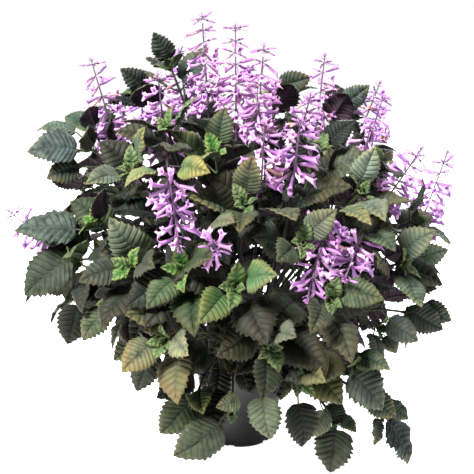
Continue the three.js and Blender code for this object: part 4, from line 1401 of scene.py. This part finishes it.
def make_pot():
    foot = POT_HEIGHT - RIM_HEIGHT
    pot = spun("nursery_pot", [
        (0, 1.2), (POT_BASE_RADIUS - 9, 1.2), (POT_BASE_RADIUS - 7, 0), (POT_BASE_RADIUS - 2.2, 0),
        (POT_BASE_RADIUS - 0.6, 0.7), (POT_BASE_RADIUS, 2.2),
        (POT_BASE_RADIUS + 1.3, 12), (POT_TOP_RADIUS - 0.4, foot - 2.5), (POT_TOP_RADIUS, foot),
        (RIM_RADIUS - 1.2, foot), (RIM_RADIUS - 0.3, foot + 0.5), (RIM_RADIUS, foot + 1.6),
        (RIM_RADIUS, POT_HEIGHT - 1), (RIM_RADIUS - 0.5, POT_HEIGHT - 0.2), (RIM_RADIUS - 1, POT_HEIGHT),
        (RIM_RADIUS - 1.6, POT_HEIGHT - 0.4), (RIM_RADIUS - POT_WALL, POT_HEIGHT - 1.4),
        (RIM_RADIUS - POT_WALL - 1.6, foot + 1), (POT_TOP_RADIUS - POT_WALL, foot - 1),
        (POT_BASE_RADIUS - POT_WALL, POT_FLOOR + 2), (POT_BASE_RADIUS - POT_WALL - 2, POT_FLOOR),
        (0, POT_FLOOR),
    ])
    notches = []
    for i in range(DRAIN_HOLES):
        deselect()
        bpy.ops.mesh.primitive_cube_add(size=1)
        notch = bpy.context.object
        notch.scale = (DRAIN_WIDTH * MM, DRAIN_WIDTH * MM, 2 * DRAIN_HEIGHT * MM)
        turn = (i + 0.25) * 2 * math.pi / DRAIN_HOLES
        notch.location = (POT_BASE_RADIUS * math.cos(turn) * MM, POT_BASE_RADIUS * math.sin(turn) * MM, 0)
        notch.rotation_euler = (0, 0, turn)
        notch = added("drain_notch")
        corner = notch.modifiers.new("corner", "BEVEL")
        corner.width = 1.2 * MM
        corner.segments = 3
        apply_modifiers(notch)
        notches.append(notch)
    cutter = joined("drain_notches", notches)
    cut = pot.modifiers.new("drains", "BOOLEAN")
    cut.operation = "DIFFERENCE"
    cut.solver = "EXACT"
    cut.object = cutter
    apply_modifiers(pot)
    bpy.data.objects.remove(cutter)
    only(pot)
    bpy.ops.object.shade_smooth_by_angle(angle=math.radians(40))
    pot.data.materials.clear()
    pot.data.materials.append(pot_plastic())
    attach(pot, "root")
    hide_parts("pot")


def make_soil():
    def inside(height):
        share = (height - POT_FLOOR) / (POT_HEIGHT - RIM_HEIGHT - POT_FLOOR)
        return POT_BASE_RADIUS + (POT_TOP_RADIUS - POT_BASE_RADIUS) * share - POT_WALL - SEAT_GAP
    top = inside(SOIL_TOP)
    profile = [(0, POT_FLOOR + 1), (inside(6) - 3, POT_FLOOR + 1), (inside(8), 8), (top, SOIL_TOP - 1.5)]
    profile += [(top * s, SOIL_TOP) for s in np.linspace(0.985, 0, 26)]
    soil = spun("peat_soil", profile, 72)
    co = positions(soil.data)
    for i, point in enumerate(co):
        if point[2] > (SOIL_TOP - 1) * MM:
            lump = noise.fractal(Vector(point) * 90, 0.9, 2.1, 4) * 2.6
            lump += noise.noise(Vector(point) * 24) * 2
            point[2] += (lump - SOIL_DIP) * MM
    set_positions(soil.data, co)
    soil.data.materials.append(potting_soil())
    only(soil)
    bpy.ops.object.shade_smooth_by_angle(angle=math.radians(50))
    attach(soil, "root")
    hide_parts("soil")

    grains = []
    for _ in range(GRAINS):
        deselect()
        bpy.ops.mesh.primitive_ico_sphere_add(subdivisions=1, radius=chance.uniform(0.9, 2.2) * MM)
        grain = added("grain")
        reach, turn = top * math.sqrt(chance.random()) * 0.96, chance.uniform(0, 2 * math.pi)
        squash = [chance.uniform(0.6, 1.2) for _ in range(3)]
        co = positions(grain.data) * squash
        height = SOIL_TOP + chance.uniform(-1, 0.8)
        co += vec(reach * math.cos(turn), reach * math.sin(turn), height) * MM
        set_positions(grain.data, co)
        grains.append(grain)
    scatter = joined("perlite_grains", grains)
    scatter.data.materials.append(perlite())
    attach(scatter, "root")


make_pot()
make_soil()


# Floor, light and camera

SURROUND_LIGHT = 0.22  # what the white room gives the plant, while the room itself is seen white
FLOOR_SEEN = 0.82  # what the floor needs on top of the light it gets to be seen as white as the room


def make_stage():
    deselect()
    bpy.ops.mesh.primitive_plane_add(size=12, location=(0, 0, 0))
    floor = added("floor")
    material, add, place = new_material("matt_white_floor", Roughness=0.9, Emission_Color="#FFFFFF")
    cloudy = add("TexNoise", {"Vector": place, "Scale": lumps(80), "Detail": 2})
    seen = add("LightPath").outputs["Is Camera Ray"]
    coated(material, {
        "Base Color": coat(add, "#FAFAFA", (cloudy, 1, "#FDFDFD")),
        "Emission Strength": add("Math", {0: seen, 1: FLOOR_SEEN}, operation="MULTIPLY")})
    floor.data.materials.append(material)


def area_light(name, place, aim, size, power):
    light = bpy.data.lights.new(name, "AREA")
    light.shape = "DISK"
    light.size = size
    light.energy = power
    thing = linked(name, light)
    thing.location = place
    thing.rotation_euler = (Vector(aim) - Vector(place)).to_track_quat("-Z", "Y").to_euler()


def make_light():
    """A white room, a key light in front on the left, and weaker lights to the right and behind."""
    scene = bpy.context.scene
    world = bpy.data.worlds.new("white_studio")
    scene.world = world
    world.use_nodes = True
    tree = world.node_tree
    seen = node(tree, "LightPath").outputs["Is Camera Ray"]
    levels = {0: seen, 1: 1 - SURROUND_LIGHT, 2: SURROUND_LIGHT}
    strength = node(tree, "Math", levels, operation="MULTIPLY_ADD")
    fill(tree, tree.nodes["Background"], {"Color": "#FFFFFF", "Strength": strength})
    area_light("key", (-0.9, -1.2, 2.0), (0, 0, 0.3), 0.7, 250)
    area_light("fill", (1.9, -0.2, 1.0), (0, 0, 0.25), 1.2, 15)
    area_light("back", (0.5, 1.8, 1.5), (0, 0, 0.3), 1.4, 84)
    scene.view_settings.view_transform = "Standard"


def make_camera():
    """A metre in front of the pot and a little above the middle of the plant, looking down."""
    camera = bpy.data.cameras.new("camera")
    camera.sensor_width = 36
    camera.lens = 54.8
    thing = linked("camera", camera)
    thing.location = (-0.005, -1.0, 0.56)
    thing.rotation_euler = (math.radians(90 - 14.3), 0, 0)
    bpy.context.scene.camera = thing


make_stage()
make_light()
make_camera()
